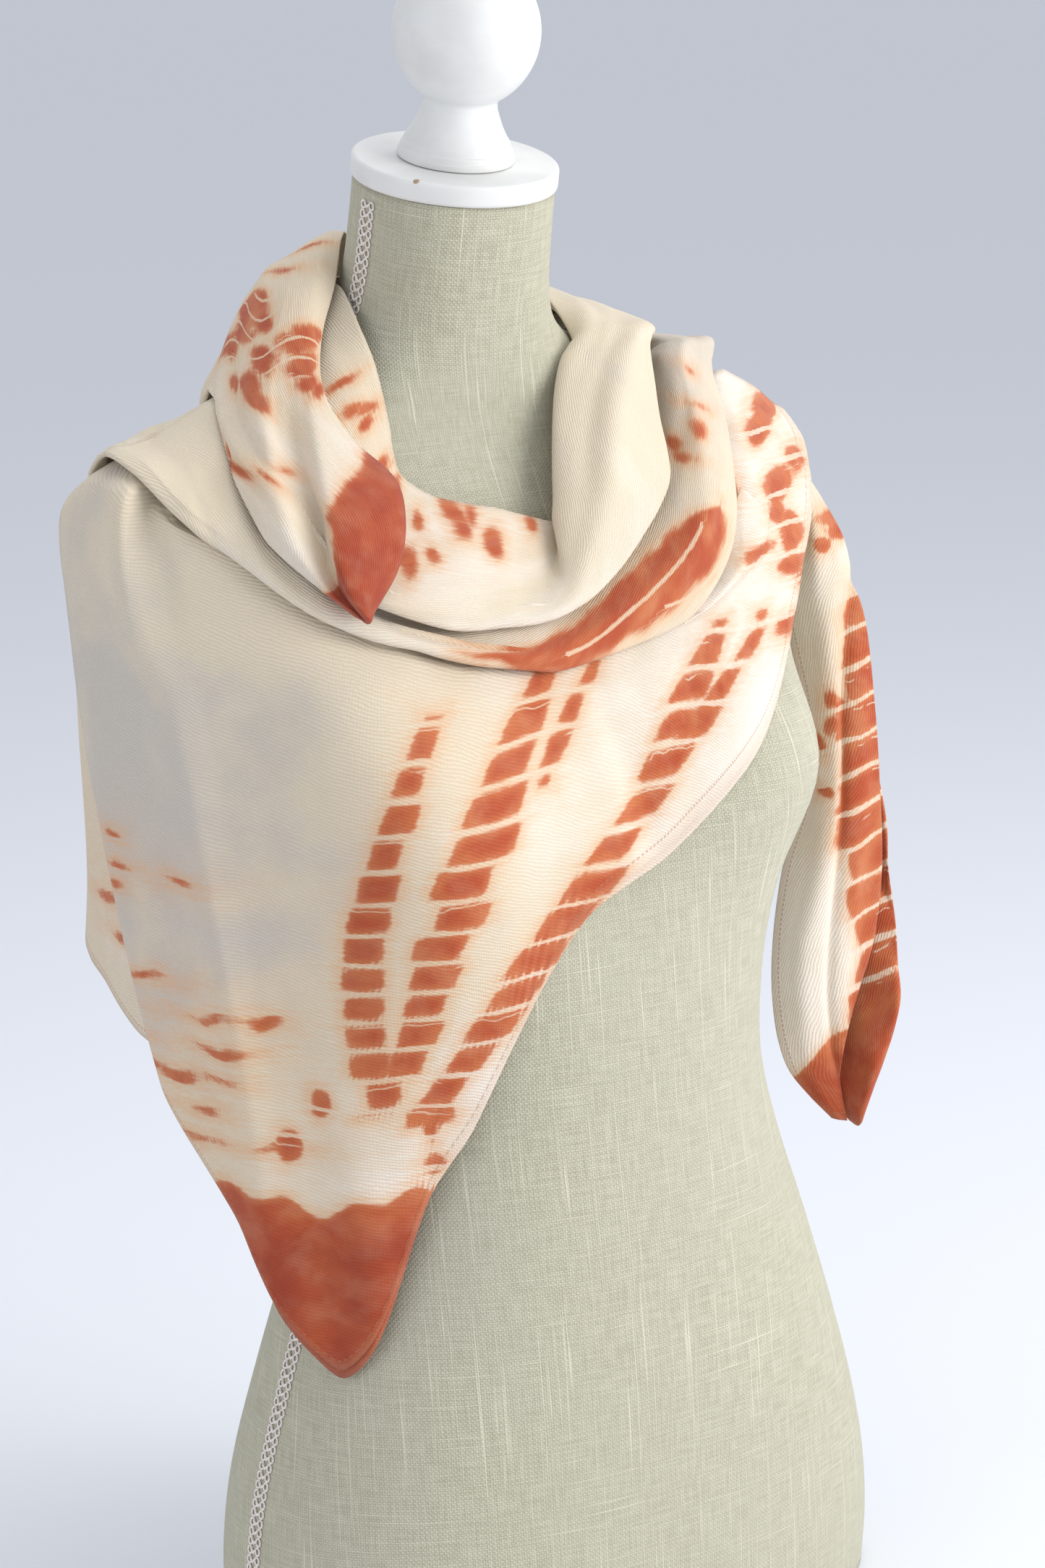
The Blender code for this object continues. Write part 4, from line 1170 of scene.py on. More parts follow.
# The shawl's back.
# The single layer that hangs behind the shoulders, down to a short point over the viewer's left.
# It is cut on the square's own selvedge and has a narrow machine-stitched hem all round.
BACK = (
    # top x, y, z; upper; middle; lower; hem
    ((-162, -40, 624), (-197, -61, 598), (-196, -63, 505), (-187, -66, 412), (-175, -70, 323)),
    ((-169, -28, 621), (-207, -44, 595), (-209, -45, 503), (-202, -43, 417), (-194, -50, 332)),
    ((-171, -12, 617), (-209, -19, 588), (-215, -17, 507), (-215, -11, 427), (-212, -19, 352)),
    ((-160, 1, 624), (-204, 1, 585), (-210, 10, 510), (-216, 13, 437), (-223, 10, 368)),
    ((-144, 16, 630), (-188, 21, 592), (-201, 32, 522), (-208, 38, 457), (-210, 40, 398)),
    ((-138, 37, 628), (-164, 51, 575), (-171, 58, 520), (-172, 63, 470), (-170, 66, 422)),
    ((-93, 78, 640), (-109, 98, 590), (-119, 109, 545), (-122, 111, 500), (-122, 111, 455)),
    ((-34, 116, 640), (-43, 136, 600), (-48, 142, 562), (-52, 142, 526), (-57, 139, 492)),
    ((21, 142, 627), (15, 160, 602), (11, 170, 576), (8, 172, 552), (3, 171, 528)),
    ((77, 150, 612), (76, 162, 604), (75, 171, 594), (74, 177, 582), (72, 180, 568)),
    ((105, 147, 612), (105, 154, 606), (105, 161, 600), (104, 168, 592), (104, 172, 584)),
)
BACK_FOLDS = (
    # along, across, direction, half length, half width, height
    (60, 150, 88, 120, 12, 2.6),
    (115, 170, 84, 130, 10, -2.2),
    (150, 130, 95, 110, 13, 3.0),
    (210, 120, 100, 110, 12, -2.6),
    (250, 100, 108, 100, 14, 3.2),
    (310, 95, 112, 90, 12, -2.4),
    (365, 80, 104, 80, 13, 2.8),
    (430, 60, 96, 60, 12, -1.8),
    (470, 50, 90, 50, 11, 2.0),
)
BACK_STAINS = (
    (-196, 380, 9, 4), (-205, 398, 6, 3), (-150, 462, 12, 5), (-120, 486, 10, 5),
    (-60, 512, 14, 5), (-20, 522, 10, 5), (30, 556, 9, 4), (-98, 498, 20, 7), (-178, 440, 14, 6),
    (60, 584, 12, 5), (8, 566, 22, 9),
)

back, back_tree = lay(
    BACK, 2, 2, (12, 10), on_form, fine_on_form, fold=False, folds=BACK_FOLDS,
)
x, z = back[..., 0] / MM, back[..., 2] / MM
rows, columns = back.shape[:2]
hem = edge_distance(back, ("end",))
marks = {
    "dye": spots(x, z, BACK_STAINS),
    "ties": (hem + 3 * np.sin(x / 40)) / 16.5,
    "tied": np.ones(x.shape),
    "haze": glow(x, z, ((-200, 420, 40, 60, 0.3), (-90, 500, 90, 26, 0.35))),
    "tone_and_painted_light": 0.35 + 0.25 * np.clip((620 - z) / 300, 0, 1),
    "hem": hem,
}
finish_cloth(
    "shawl_back_cloth", "shawl_back", back, marks, cashmere("cashmere, back"),
)
fine_back = (surface(back), thin)


# The shawl's end.
# The free corner that comes over the viewer's right shoulder and hangs in folds beside the form.
# An inner layer lies under the outer one; its tip is dyed solid terracotta, with a rolled hem.
END_INNER = (
    # left x, y, z; middle; right
    ((147, 122, 586), (152, 125, 582), (156, 130, 577)),
    ((152, 106, 551), (161, 100, 551), (172, 112, 548)),
    ((145, 104, 505), (162, 92, 509), (182, 106, 503)),
    ((153, 104, 458), (168, 94, 462), (186, 104, 455)),
    ((155, 104, 411), (170, 94, 415), (188, 104, 406)),
    ((141, 100, 370), (161, 86, 370), (189, 100, 363)),
    ((133, 92, 328), (150, 80, 329), (184, 96, 321)),
    ((132, 88, 289), (148, 80, 287), (171, 88, 284)),
    ((139, 86, 258), (152, 82, 254), (166, 84, 254)),
    ((161, 84, 231), (165, 83, 230), (169, 84, 229)),
)
END_OUTER = (
    # left x, y, z; middle; right; behind
    ((72, 73, 634), (62, 88, 644), (45, 115, 642), (22, 150, 600)),
    ((104, 96, 627), (97, 108, 636), (78, 137, 634), (54, 174, 584)),
    ((135, 112, 609), (131, 128, 614), (113, 157, 609), (88, 188, 560)),
    ((156, 102, 587), (162, 114, 581), (169, 130, 572), (120, 190, 538)),
    ((168, 86, 530), (174, 88, 529), (185, 104, 523), (145, 166, 508)),
    ((176, 78, 478), (183, 78, 478), (193, 94, 472), (164, 147, 462)),
    ((174, 72, 425), (185, 72, 425), (198, 90, 418), (186, 124, 410)),
    ((164, 68, 372), (184, 66, 370), (202, 86, 364), (188, 118, 355)),
    ((158, 66, 326), (182, 64, 323), (204, 84, 317), (187, 112, 309)),
    ((156, 68, 286), (179, 68, 282), (195, 82, 278), (181, 104, 271)),
    ((161, 74, 252), (175, 72, 250), (184, 80, 250), (175, 96, 245)),
    ((171, 80, 230), (175, 79, 227), (177, 81, 231), (175, 88, 229)),
)
END_FOLDS = (
    (150, 22, 2, 90, 5, -1.4),
    (200, 42, 4, 120, 7, 1.8),
    (250, 18, -3, 90, 5, 1.3),
    (290, 55, 3, 110, 7, -2.0),
    (330, 28, 2, 90, 5, -1.4),
    (360, 70, -4, 100, 8, 2.2),
    (250, 90, 2, 140, 8, -2.2),
    (200, 110, 0, 120, 9, 2.0),
    (60, 40, 12, 60, 7, 1.6),
    (90, 60, 8, 60, 6, -1.4),
)
END_PITCH = 19  # millimetres from one tie line to the next


def scattered(seed, count, middle, spread, size, rows=0):
    """A table of blots thrown at random round a place: x, y, half width, half height.

    With rows, the blots lie on lines that many millimetres apart, as they do beside tie lines.
    """
    chance = np.random.default_rng(seed)
    x, y = (middle[k] + spread[k] * chance.uniform(-1, 1, count) for k in range(2))
    if rows:
        y = np.round(y / rows) * rows
    half_width, half_height = (size[k] * chance.uniform(0.6, 1.3, count) for k in range(2))
    return list(zip(x, y, half_width, half_height))


def bled(depth):
    """The peach haze that dye leaves round itself, from how far outside the dye each point is."""
    outside = np.clip(-depth, 0, None)
    return 0.32 * np.exp(-outside / 7) + 0.14 * np.exp(-outside / 26)


END_STAINS = scattered(15, 7, (168, 400), (6, 60), (4, 5)) + scattered(16, 3, (174, 550), (12, 12), (8, 5))


def crease_line(z):
    """How far to the viewer's right the crease lies that parts the pale face from the tied one."""
    return np.interp(z, (230, 270, 300, 400, 500, 560), (168, 161, 161, 169, 176, 186))


def end_relief(grid):
    x, z = grid[..., 0], grid[..., 2]
    aside = x - crease_line(z) + 1.2 * np.sin(z / 23)
    height = -2.6 * np.exp(-((aside / 2.2) ** 2)) + 1.6 * np.exp(-(((aside - 8) / 5) ** 2))
    height += 1.4 * np.exp(-(((aside + 9) / 5) ** 2)) * eased(z, 300, 420)
    return height * eased(z, 225, 262) * eased(575 - z, 0, 40)


def widened(grid):
    """The hanging end's outer side, brought out a little to the outline that it shows."""
    part = np.linspace(0, 1, grid.shape[1])[None, :, None] ** 1.5
    z = grid[..., 2:] / MM
    out = 5.0 * np.exp(-(((z - 430) / 110) ** 2)) * MM
    return grid + part * out * np.array([1, 0, 0])


def end_marks(grid):
    """The dye on the hanging end: tied blocks beyond the crease, small blots and a solid tip."""
    x, z = grid[..., 0] / MM, grid[..., 2] / MM
    moved_x, moved_z = wandering(x, z, 0.6)
    crease = crease_line(z)
    fade = np.interp(z, (300, 320, 346, 380, 400), (12, 15, 9, 3, 0))
    ties = (moved_z - 0.35 * (x - 185)) / END_PITCH
    cell = np.floor(ties)
    uneven = 2.2 * np.sin(2.4 * cell)
    part = ties - cell
    to_tie = np.minimum(part, 1 - part) * END_PITCH
    blocks = both(moved_x - crease - fade - uneven, to_tie - 0.6, 2.5)
    blocks = np.minimum(blocks, 514 - z)
    tip = 256 + 0.8 * (x - 140) + 2.5 * np.sin(x / 6)
    depth = np.maximum(np.maximum(tip - z, blocks), spots(x, z, END_STAINS))
    return {
        "dye": depth,
        "haze": bled(depth),
        "ties": ties,
        "tied": ((z > tip + 4) & (z < 530) & (x > crease - 12)).astype(float),
        # Painted light: the hanging end's ground is set pale, and paler towards its foot, to stand in for
        # light on its shaded face.
        "tone_and_painted_light": 0.72 + 0.28 * np.clip((430 - z) / 150, 0, 1),
        "hem": edge_distance(grid, ("start", "last")),
        # The darker rust deep in the solid tip is the dye's, but here it is held much lighter than on the
        # front corner: painted light on the lit hanging end.
        "deep": np.clip((tip - z - 4) / 30, 0, 0.25),
    }


inside, inside_tree = lay(
    END_INNER, 2, 2, (8, 12), on_form + [back_tree], fine_on_form + [fine_back], fold=False,
    relief=end_relief, facing=(0, -1, 0),
)
inside = widened(inside)
finish_cloth(
    "shawl_end_inner_cloth", "shawl_end_inner", inside, end_marks(inside), cashmere("cashmere, inner end"),
)
fine_inside = (surface(inside), thin)

end, end_tree = lay(
    END_OUTER, 2, 2, (7, 8), on_form + [back_tree, inside_tree],
    fine_on_form + [fine_back, fine_inside], fold=False, folds=END_FOLDS,
)
end = widened(end)
finish_cloth(
    "shawl_end_cloth", "shawl_end", end, end_marks(end), cashmere("cashmere, end"),
)
fine_end = (surface(end), thin)


# The shawl's front, its two layers.
# The folded square's large corner hangs to a point in front. The under layer shows only as a
# second hem, a few millimetres past the first; both have a 6 mm hem with one row of stitches.
FRONT = (
    # under x, y, z; crest; upper; middle; lower; hem
    ((99, 96, 623), (112, 112, 625), (121, 122, 620), (131, 130, 614), (140, 136, 609), (148, 140, 604)),
    ((101, 60, 609), (118, 72, 603), (130, 84, 601), (140, 94, 598), (148, 102, 596), (155, 108, 593)),
    ((106, 38, 586), (125, 50, 581), (135, 60, 576), (144, 70, 571), (152, 78, 567), (157, 84, 562)),
    ((107, 24, 564), (127, 34, 558), (135, 42, 553), (141, 50, 548), (147, 58, 544), (151, 64, 539)),
    ((100, 10, 548), (119, 20, 539), (126, 27, 533), (133, 35, 527), (140, 44, 521), (145, 50, 516)),
    ((88, -1, 535), (102, 0, 525), (112, 4, 516), (122, 8, 508), (130, 12, 501), (136, 22, 496)),
    ((71, -19, 528), (81, -22, 519), (93, -24, 506), (105, -26, 493), (114, -28, 482), (122, -16, 468)),
    ((52, -35, 525), (58, -41, 514), (71, -45, 497), (82, -49, 479), (94, -52, 460), (103, -51, 447)),
    ((29, -53, 522), (32, -60, 511), (41, -66, 487), (51, -71, 465), (60, -76, 440), (68, -78, 419)),
    ((11, -65, 520), (11, -76, 509), (16, -86, 484), (22, -96, 457), (27, -104, 430), (31, -105, 399)),
    ((-10, -78, 523), (-10, -89, 511), (-9, -114, 473), (-8, -131, 434), (-6, -128, 387), (-6, -122, 342)),
    ((-36, -88, 531), (-37, -99, 519), (-34, -132, 471), (-32, -144, 417), (-31, -133, 357),
     (-29, -123, 298)),
    ((-63, -92, 543), (-64, -103, 531), (-60, -137, 476), (-56, -143, 411), (-52, -133, 340),
     (-50, -123, 268)),
    ((-90, -93, 560), (-92, -102, 548), (-86, -131, 480), (-79, -134, 399), (-73, -130, 311),
     (-67, -127, 225)),
    ((-114, -93, 576), (-117, -100, 566), (-108, -119, 482), (-99, -123, 390), (-90, -127, 289),
     (-81, -130, 193)),
    ((-136, -92, 589), (-138, -98, 579), (-127, -110, 481), (-117, -114, 377), (-106, -119, 276),
     (-97, -123, 176)),
    ((-153, -89, 597), (-156, -94, 590), (-144, -105, 484), (-132, -111, 377), (-119, -116, 276),
     (-110, -122, 186)),
    ((-137, -68, 616), (-171, -85, 597), (-158, -104, 484), (-145, -112, 385), (-135, -114, 291),
     (-128, -116, 209)),
    ((-145, -60, 620), (-181, -93, 605), (-173, -92, 486), (-161, -98, 401), (-151, -102, 317),
     (-143, -104, 247)),
    ((-146, -43, 629), (-192, -76, 608), (-189, -80, 502), (-179, -84, 418), (-171, -86, 344),
     (-160, -90, 275)),
    ((-154, -31, 629), (-203, -60, 607), (-205, -64, 518), (-198, -68, 431), (-189, -70, 360),
     (-178, -74, 306)),
    ((-162, -19, 625), (-212, -46, 598), (-212, -52, 534), (-205, -58, 459), (-195, -60, 393),
     (-185, -64, 336)),
)
FRONT_FOLDS = (
    # along, across, direction, half length, half width, height
    (150, 60, 4, 120, 9, 0.8),
    (170, 82, 6, 120, 8, -0.7),
    (160, 108, 10, 110, 10, 0.8),
    (190, 140, 14, 90, 10, -0.6),
    (290, 150, 84, 150, 6, -1.5),
    (302, 190, 86, 150, 8, 1.6),
    (270, 90, 60, 70, 9, 1.2),
    (255, 70, 45, 60, 9, -1.2),
    (235, 260, 88, 120, 15, 1.2),
    (205, 250, 86, 110, 13, -1.0),
    (180, 280, 92, 90, 12, 0.8),
    (60, 60, 70, 60, 7, 1.1),
    (42, 50, 76, 50, 6, -1.0),
    (90, 70, 60, 70, 8, -0.9),
)
# Columns of blocks that fan out from above the tip, toward the neck and the free edge.
BANDS = (
    # bottom x, z; top x, z; sway to the viewer's left; half widths at the bottom, middle and top
    (-75, 310, -40, 495, 15, (9, 10, 6)),
    (-60, 330, 20, 515, 5, (8, 15, 7)),
    (15, 465, 40, 510, 0, (4, 6, 3)),
    (60, 445, 105, 515, 0, (7, 11, 5)),
    (-50, 305, 130, 515, 6, (9, 13, 4)),
)
FRONT_STAINS = (
    scattered(11, 13, (-160, 320), (40, 45), (11, 3), rows=16)
    + scattered(12, 4, (-185, 430), (22, 22), (5, 3))
    + scattered(13, 6, (-80, 296), (45, 16), (7, 6))
    + scattered(14, 13, (135, 560), (24, 55), (7, 6))
)


def band_points(bottom_x, bottom_z, top_x, top_z, sway, widths):
    """Points down a band's middle, with its half width: a straight run that sways to one side."""
    part = np.linspace(0, 1, 9)
    x = bottom_x + (top_x - bottom_x) * part - sway * np.sin(np.pi * part)
    z = bottom_z + (top_z - bottom_z) * part
    return list(zip(x, z, np.interp(part, (0, 0.5, 1), widths)))


under_rows = []
for row in FRONT:
    before, last_point = np.array(row[-2], float), np.array(row[-1], float)
    onward = (last_point - before) / np.linalg.norm(last_point - before)
    under_rows.append(row[1:-1] + (tuple(last_point + onward * UNDER_PEEK),))


def hanging_weave(grid):
    """Each point's place on the flat cloth of the hanging corner, which is hardly bent."""
    x, y, z = (grid[..., k] / MM for k in range(3))
    lean = np.interp(x, (-150, -60, 60, 120), (-1, 0, 0, 1))
    return x + lean * (y + 100), z


def front_marks(grid):
    """The dye on the hanging corner, laid out by width and height as it hangs."""
    x, z = grid[..., 0] / MM, grid[..., 2] / MM
    wave = 2.5 * np.sin(x / 45) + 0.8 * np.sin(x / 11)
    ties = (z - wave + 2 * np.sin(z / 29)) / TIE_PITCH
    depth = np.full(x.shape, -40.0)
    for seed, band in enumerate(BANDS, 3):
        depth = np.maximum(depth, dyed_band(x, z, ties, band_points(*band), seed))
    depth = np.maximum(depth, spots(x, z, FRONT_STAINS))
    tip = 262 + 5 * np.sin(x / 13) + 3 * np.sin(x / 5.1)
    depth = np.maximum(depth, tip - z)
    hem = edge_distance(grid, ("end",))
    return {
        "dye": depth,
        "ties": ties,
        "tied": ((z > tip + 5) & (z < 640)).astype(float),
        "haze": bled(depth),
        # Painted light and shade in the ground: greyer on the viewer's left, away from the light, and paler
        # towards the right, low down and at the top.
        "tone_and_painted_light": np.clip(0.16 + (x + 150) / 330 + np.clip((400 - z) / 330, 0, 0.4)
        + 0.3 * np.clip((z - 500) / 80, 0, 1), 0.05, 1.0),
        "hem": hem,
        "deep": np.clip((tip - z - 3) / 30, 0, 0.8),
    }


under, under_tree = lay(
    under_rows, 2, 2, (3, 8), on_form + [back_tree, end_tree], fine_on_form + [fine_back, fine_end],
    fold=False,
)
finish_cloth(
    "shawl_front_under_cloth", "shawl_front_under", under, front_marks(under),
    cashmere("cashmere, under layer"),
    weave=hanging_weave(under),
)
fine_under = (surface(under), thin)

front, front_tree = lay(
    FRONT, 2, 3, (4, 12), on_form + [back_tree, end_tree, under_tree],
    fine_on_form + [fine_back, fine_end, fine_under], fold=False, folds=FRONT_FOLDS,
)
finish_cloth(
    "shawl_front_cloth", "shawl_front", front, front_marks(front), cashmere("cashmere, front"),
    weave=hanging_weave(front),
)
fine_front = (surface(front), thin)


# The small fold beside the cowl.
# A pinched pleat of the front panel, standing between the cowl and the viewer's right shoulder.
RIDGE = (
    # inner x, y, z; crest; outer
    ((106, 44, 574), (116, 46, 574), (123, 56, 573)),
    ((108, 22, 560), (120, 24, 558), (127, 40, 558)),
    ((109, 6, 547), (119, 8, 546), (125, 26, 546)),
    ((102, -8, 537), (111, -6, 537), (117, 12, 538)),
    ((91, -18, 527), (99, -14, 527), (105, 2, 529)),
    ((76, -26, 521), (85, -22, 520), (89, -8, 522)),
)

ridge, ridge_tree = lay(
    RIDGE, 2, 2, (5, 6), on_form + [end_tree, under_tree, front_tree],
    fine_on_form + [fine_end, fine_under, fine_front], fold=False,
)
part = np.linspace(0, 1, ridge.shape[0])[:, None, None]
taper = np.clip(np.sin(np.pi * part) * 2.2, 0.04, 1)
middle = ridge[:, ridge.shape[1] // 2][:, None]
ridge = middle + (ridge - middle) * taper
ridge_marks = front_marks(ridge)
ridge_marks["hem"][:] = 40
finish_cloth(
    "shawl_ridge_cloth", "shawl_ridge", ridge, ridge_marks, cashmere("cashmere, pleat"),
    weave=hanging_weave(ridge),
)
fine_ridge = (surface(ridge), thin)


# The cowl's outer turn.
# The lower of the two turns round the neck: a closed loop of soft cloth whose lower edge is
# folded under, lying on the shoulders and dipping in front.
OUTER_COWL = (
    # upper x, y, z; middle; crest; edge
    ((-121, 7, 648), (-165, -35, 621), (-178, -56, 615), (-181, -62, 612)),
    ((-106, -31, 640), (-146, -72, 616), (-153, -98, 604), (-155, -100, 599)),
    ((-93, -65, 620), (-121, -95, 597), (-129, -106, 587), (-131, -107, 581)),
    ((-77, -86, 582), (-86, -102, 566), (-90, -111, 557), (-92, -112, 551)),
    ((-54, -82, 564), (-61, -98, 547), (-63, -108, 540), (-64, -108, 534)),
    ((-28, -74, 551), (-32, -90, 536), (-33, -101, 528), (-34, -100, 520)),
    ((-1, -62, 546), (-3, -82, 530), (-3, -92, 522), (-4, -89, 512)),
    ((16, -50, 547), (17, -72, 530), (18, -82, 521), (18, -78, 511)),
    ((27, -36, 551), (32, -58, 535), (36, -70, 526), (38, -66, 514)),
    ((40, -16, 562), (50, -40, 545), (59, -54, 534), (64, -48, 519)),
    ((54, 4, 573), (66, -20, 558), (79, -36, 545), (90, -28, 527)),
    ((62, 20, 587), (79, 0, 576), (97, -14, 566), (112, -2, 555)),
    ((71, 44, 609), (86, 24, 601), (102, 14, 595), (116, 32, 584)),
    ((74, 60, 629), (86, 44, 627), (99, 36, 623), (114, 58, 612)),
    ((76, 78, 641), (84, 66, 645), (96, 60, 643), (109, 82, 630)),
    ((76, 98, 646), (84, 90, 651), (94, 88, 651), (105, 104, 637)),
    ((-5, 121, 662), (6, 145, 660), (23, 170, 640), (51, 179, 602)),
    ((-48, 102, 655), (-47, 127, 640), (-43, 149, 610), (-31, 161, 572)),
    ((-81, 79, 652), (-92, 95, 636), (-102, 111, 602), (-108, 116, 562)),
    ((-98, 50, 655), (-128, 58, 634), (-148, 63, 604), (-162, 66, 572)),
    ((-101, 18, 660), (-139, 5, 638), (-168, -6, 617), (-190, -16, 592)),
)
OUTER_FOLDS = (
    # along, across, direction, half length, half width, height
    (330, 20, 4, 70, 6, 1.6),
    (300, 40, 6, 80, 5, -1.2),
    (380, 55, 10, 60, 6, 1.5),
    (420, 30, 8, 60, 6, -1.5),
    (470, 60, 6, 60, 7, 1.6),
    (500, 35, 4, 60, 6, -1.4),
    (120, 55, 4, 90, 8, 1.4),
    (90, 80, 5, 90, 7, -1.2),
    (60, 30, 3, 80, 7, 1.3),
    (560, 40, -5, 80, 8, 2.0),
    (620, 70, 5, 90, 8, -1.8),
    (700, 35, -4, 90, 9, 2.0),
    (760, 70, 6, 80, 8, -1.8),
    (820, 40, 4, 80, 8, 1.8),
    (900, 75, -3, 70, 8, 1.6),
    (930, 45, 3, 60, 7, -1.4),
)
OUTER_STAINS = (
    scattered(17, 5, (460, 34), (45, 10), (6, 11)) + scattered(18, 6, (660, 58), (140, 12), (8, 14))
)

outer_below = on_form + [back_tree, end_tree, front_tree, ridge_tree]
outer_fine = fine_on_form + [fine_back, fine_end, fine_front, fine_ridge]
outer, outer_tree = lay(OUTER_COWL, 2, 2, (8, 6), outer_below, outer_fine, closed=True, folds=OUTER_FOLDS)
along, across = pattern_place(outer, 5 / 6)
part = np.clip((along - 205) / 200, 0, 1)
middle = 40 + 20 * part ** 1.5
half = 22 * part ** 0.6 * np.sqrt(1 - part ** 6)
moved_along, moved_across = wandering(along, across, 0.9)
band = both(half - np.abs(moved_across - middle), np.minimum(along - 205, 410 - moved_along), 3.0)
orange_end = np.clip((262 - along) / 30, 0, 1)
first = tie_line(
    along, across, [(place, 46 + 8 * math.sin((place - 270) / 60)) for place in range(270, 391, 15)],
)
second = tie_line(along, across, [(place, 74 - (place - 375) ** 2 / 150) for place in range(335, 416, 10)])
cut = np.sign(first * second) * np.minimum(np.abs(first), np.abs(second))
depth = np.maximum(band - 3 * orange_end, spots(along, across, OUTER_STAINS) - 1.5)
marks = {
    "dye": depth,
    "cut": cut,
    "ties": (across + 3 * np.sin(along / 30)) / 17,
    "tied": ((along > 520) & (along < 800)).astype(float),
    "haze": bled(depth),
    "tone_and_painted_light": 0.42 + 0.25 * np.sin(along / 120),
}
outer_whole = folded(outer, True)
extra = outer_whole.shape[1] - outer.shape[1]
marks = {mark: with_fold(values, extra) for mark, values in marks.items()}
finish_cloth(
    "shawl_outer_cowl_cloth", "shawl_outer_cowl", outer_whole, marks,
    cashmere("cashmere, outer turn", 3.6, 1.9),
    closed=True,
)
fine_outer = (surface(outer, True), thin)


# The cowl's inner turn.
# The upper turn, from behind the viewer's left of the neck round the front to the two thick
# standing folds on the right and on round the back. Its edge is folded under.
INNER_COWL = (
    # inner x, y, z; valley; crest; middle; edge
    ((-60, 85, 692), (-65, 91, 686), (-70, 97, 678), (-76, 102, 669), (-81, 106, 658)),
    ((-82, 45, 694), (-93, 48, 687), (-104, 50, 678), (-112, 51, 669), (-118, 52, 660)),
    ((-75, 16, 691), (-88, 20, 687), (-102, 26, 680), (-109, 30, 675), (-114, 34, 669)),
    ((-67, -8, 675), (-84, -8, 669), (-102, -14, 660), (-111, -12, 655), (-117, -8, 650)),
    ((-60, -21, 657), (-81, -40, 648), (-102, -52, 639), (-113, -54, 632), (-121, -50, 624)),
    ((-54, -37, 628), (-78, -72, 617), (-98, -90, 603), (-104, -94, 597), (-109, -92, 592)),
    ((-50, -48, 607), (-67, -88, 583), (-77, -106, 569), (-80, -110, 564), (-82, -108, 559)),
    ((-32, -48, 594), (-32, -74, 573), (-33, -94, 557), (-33, -103, 547), (-33, -103, 540)),
    ((-4, -36, 586), (-4, -60, 564), (-4, -77, 550), (-5, -87, 542), (-5, -86, 535)),
    ((15, -28, 579), (15, -48, 557), (17, -64, 547), (19, -74, 540), (21, -72, 534)),
    ((25, -24, 576), (24, -38, 559), (27, -54, 553), (34, -61, 548), (43, -54, 542)),
    ((30, -16, 577), (28, -26, 571), (26, -38, 570), (42, -44, 566), (69, -20, 566)),
    ((35, -6, 588), (30, -14, 591), (26, -22, 595), (50, -26, 594), (84, 6, 588)),
    ((39, 16, 614), (34, 7, 619), (28, 0, 624), (53, -4, 624), (80, 26, 619)),
    ((41, 40, 636), (36, 32, 643), (32, 26, 649), (55, 22, 652), (77, 46, 652)),
    ((42, 62, 645), (39, 56, 652), (37, 52, 659), (54, 58, 667), (77, 74, 659)),
    ((-6, 108, 688), (-4, 117, 690), (-1, 130, 690), (8, 153, 672), (17, 173, 646)),
    ((-55, 129, 662), (-57, 135, 654), (-58, 144, 644), (-56, 157, 622), (-53, 166, 598)),
    ((-101, 111, 652), (-105, 114, 644), (-110, 117, 632), (-117, 120, 611), (-122, 120, 588)),
    ((-130, 83, 642), (-135, 84, 635), (-139, 86, 625), (-145, 87, 607), (-149, 87, 588)),
    ((-138, 62, 636), (-142, 62, 632), (-145, 62, 627), (-147, 62, 621), (-150, 61, 615)),
)
INNER_FOLDS = (
    # along, across, direction, half length, half width, height
    (330, 30, 84, 40, 9, 0.8),
    (365, 40, 84, 34, 8, -0.8),
    (300, 20, 20, 40, 6, 1.0),
    (430, 30, 70, 30, 7, 1.2),
    (470, 50, 8, 50, 7, 1.6),
    (500, 30, 4, 50, 6, -1.4),
    (500, 42, 4, 70, 7, -3.4),
    (505, 24, 2, 70, 8, 1.8),
    (510, 60, 6, 70, 8, 2.2),
    (560, 35, 2, 60, 7, -1.8),
    (620, 50, 6, 80, 9, 2.0),
    (680, 30, -4, 80, 8, -1.8),
    (730, 60, 5, 80, 9, 2.0),
    (790, 35, 3, 70, 8, 1.8),
    (840, 60, -3, 60, 8, -1.6),
    (890, 40, 2, 50, 7, 1.4),
    (220, 20, 8, 60, 5, 0.9),
    (150, 20, 6, 60, 6, 0.9),
)
INNER_STAINS = (
    scattered(19, 7, (235, 16), (60, 9), (6, 10)) + scattered(20, 10, (350, 32), (42, 28), (6, 9))
    + scattered(21, 3, (700, 48), (60, 10), (8, 14))
)

inner, inner_tree = lay(
    INNER_COWL, 2, 2, (8, 5), on_form + [outer_tree], fine_on_form + [fine_outer], folds=INNER_FOLDS,
)
along, across = pattern_place(inner, 0.75)
depth = spots(along, across, INNER_STAINS)
marks = {
    "dye": depth,
    "ties": (across + 3 * np.sin(along / 30)) / 17,
    "tied": (along > 600).astype(float),
    "haze": bled(depth),
    "tone_and_painted_light": np.interp(along, (0, 250, 340, 420, 520, 700), (0.45, 0.55, 0.80, 0.62, 0.45, 0.4)),
}
inner_whole = folded(inner)
extra = inner_whole.shape[1] - inner.shape[1]
marks = {mark: with_fold(values, extra) for mark, values in marks.items()}
finish_cloth(
    "shawl_inner_cowl_cloth", "shawl_inner_cowl", inner_whole, marks,
    cashmere("cashmere, inner turn", 3.6, 1.9),
)
fine_inner = (surface(inner), thin)


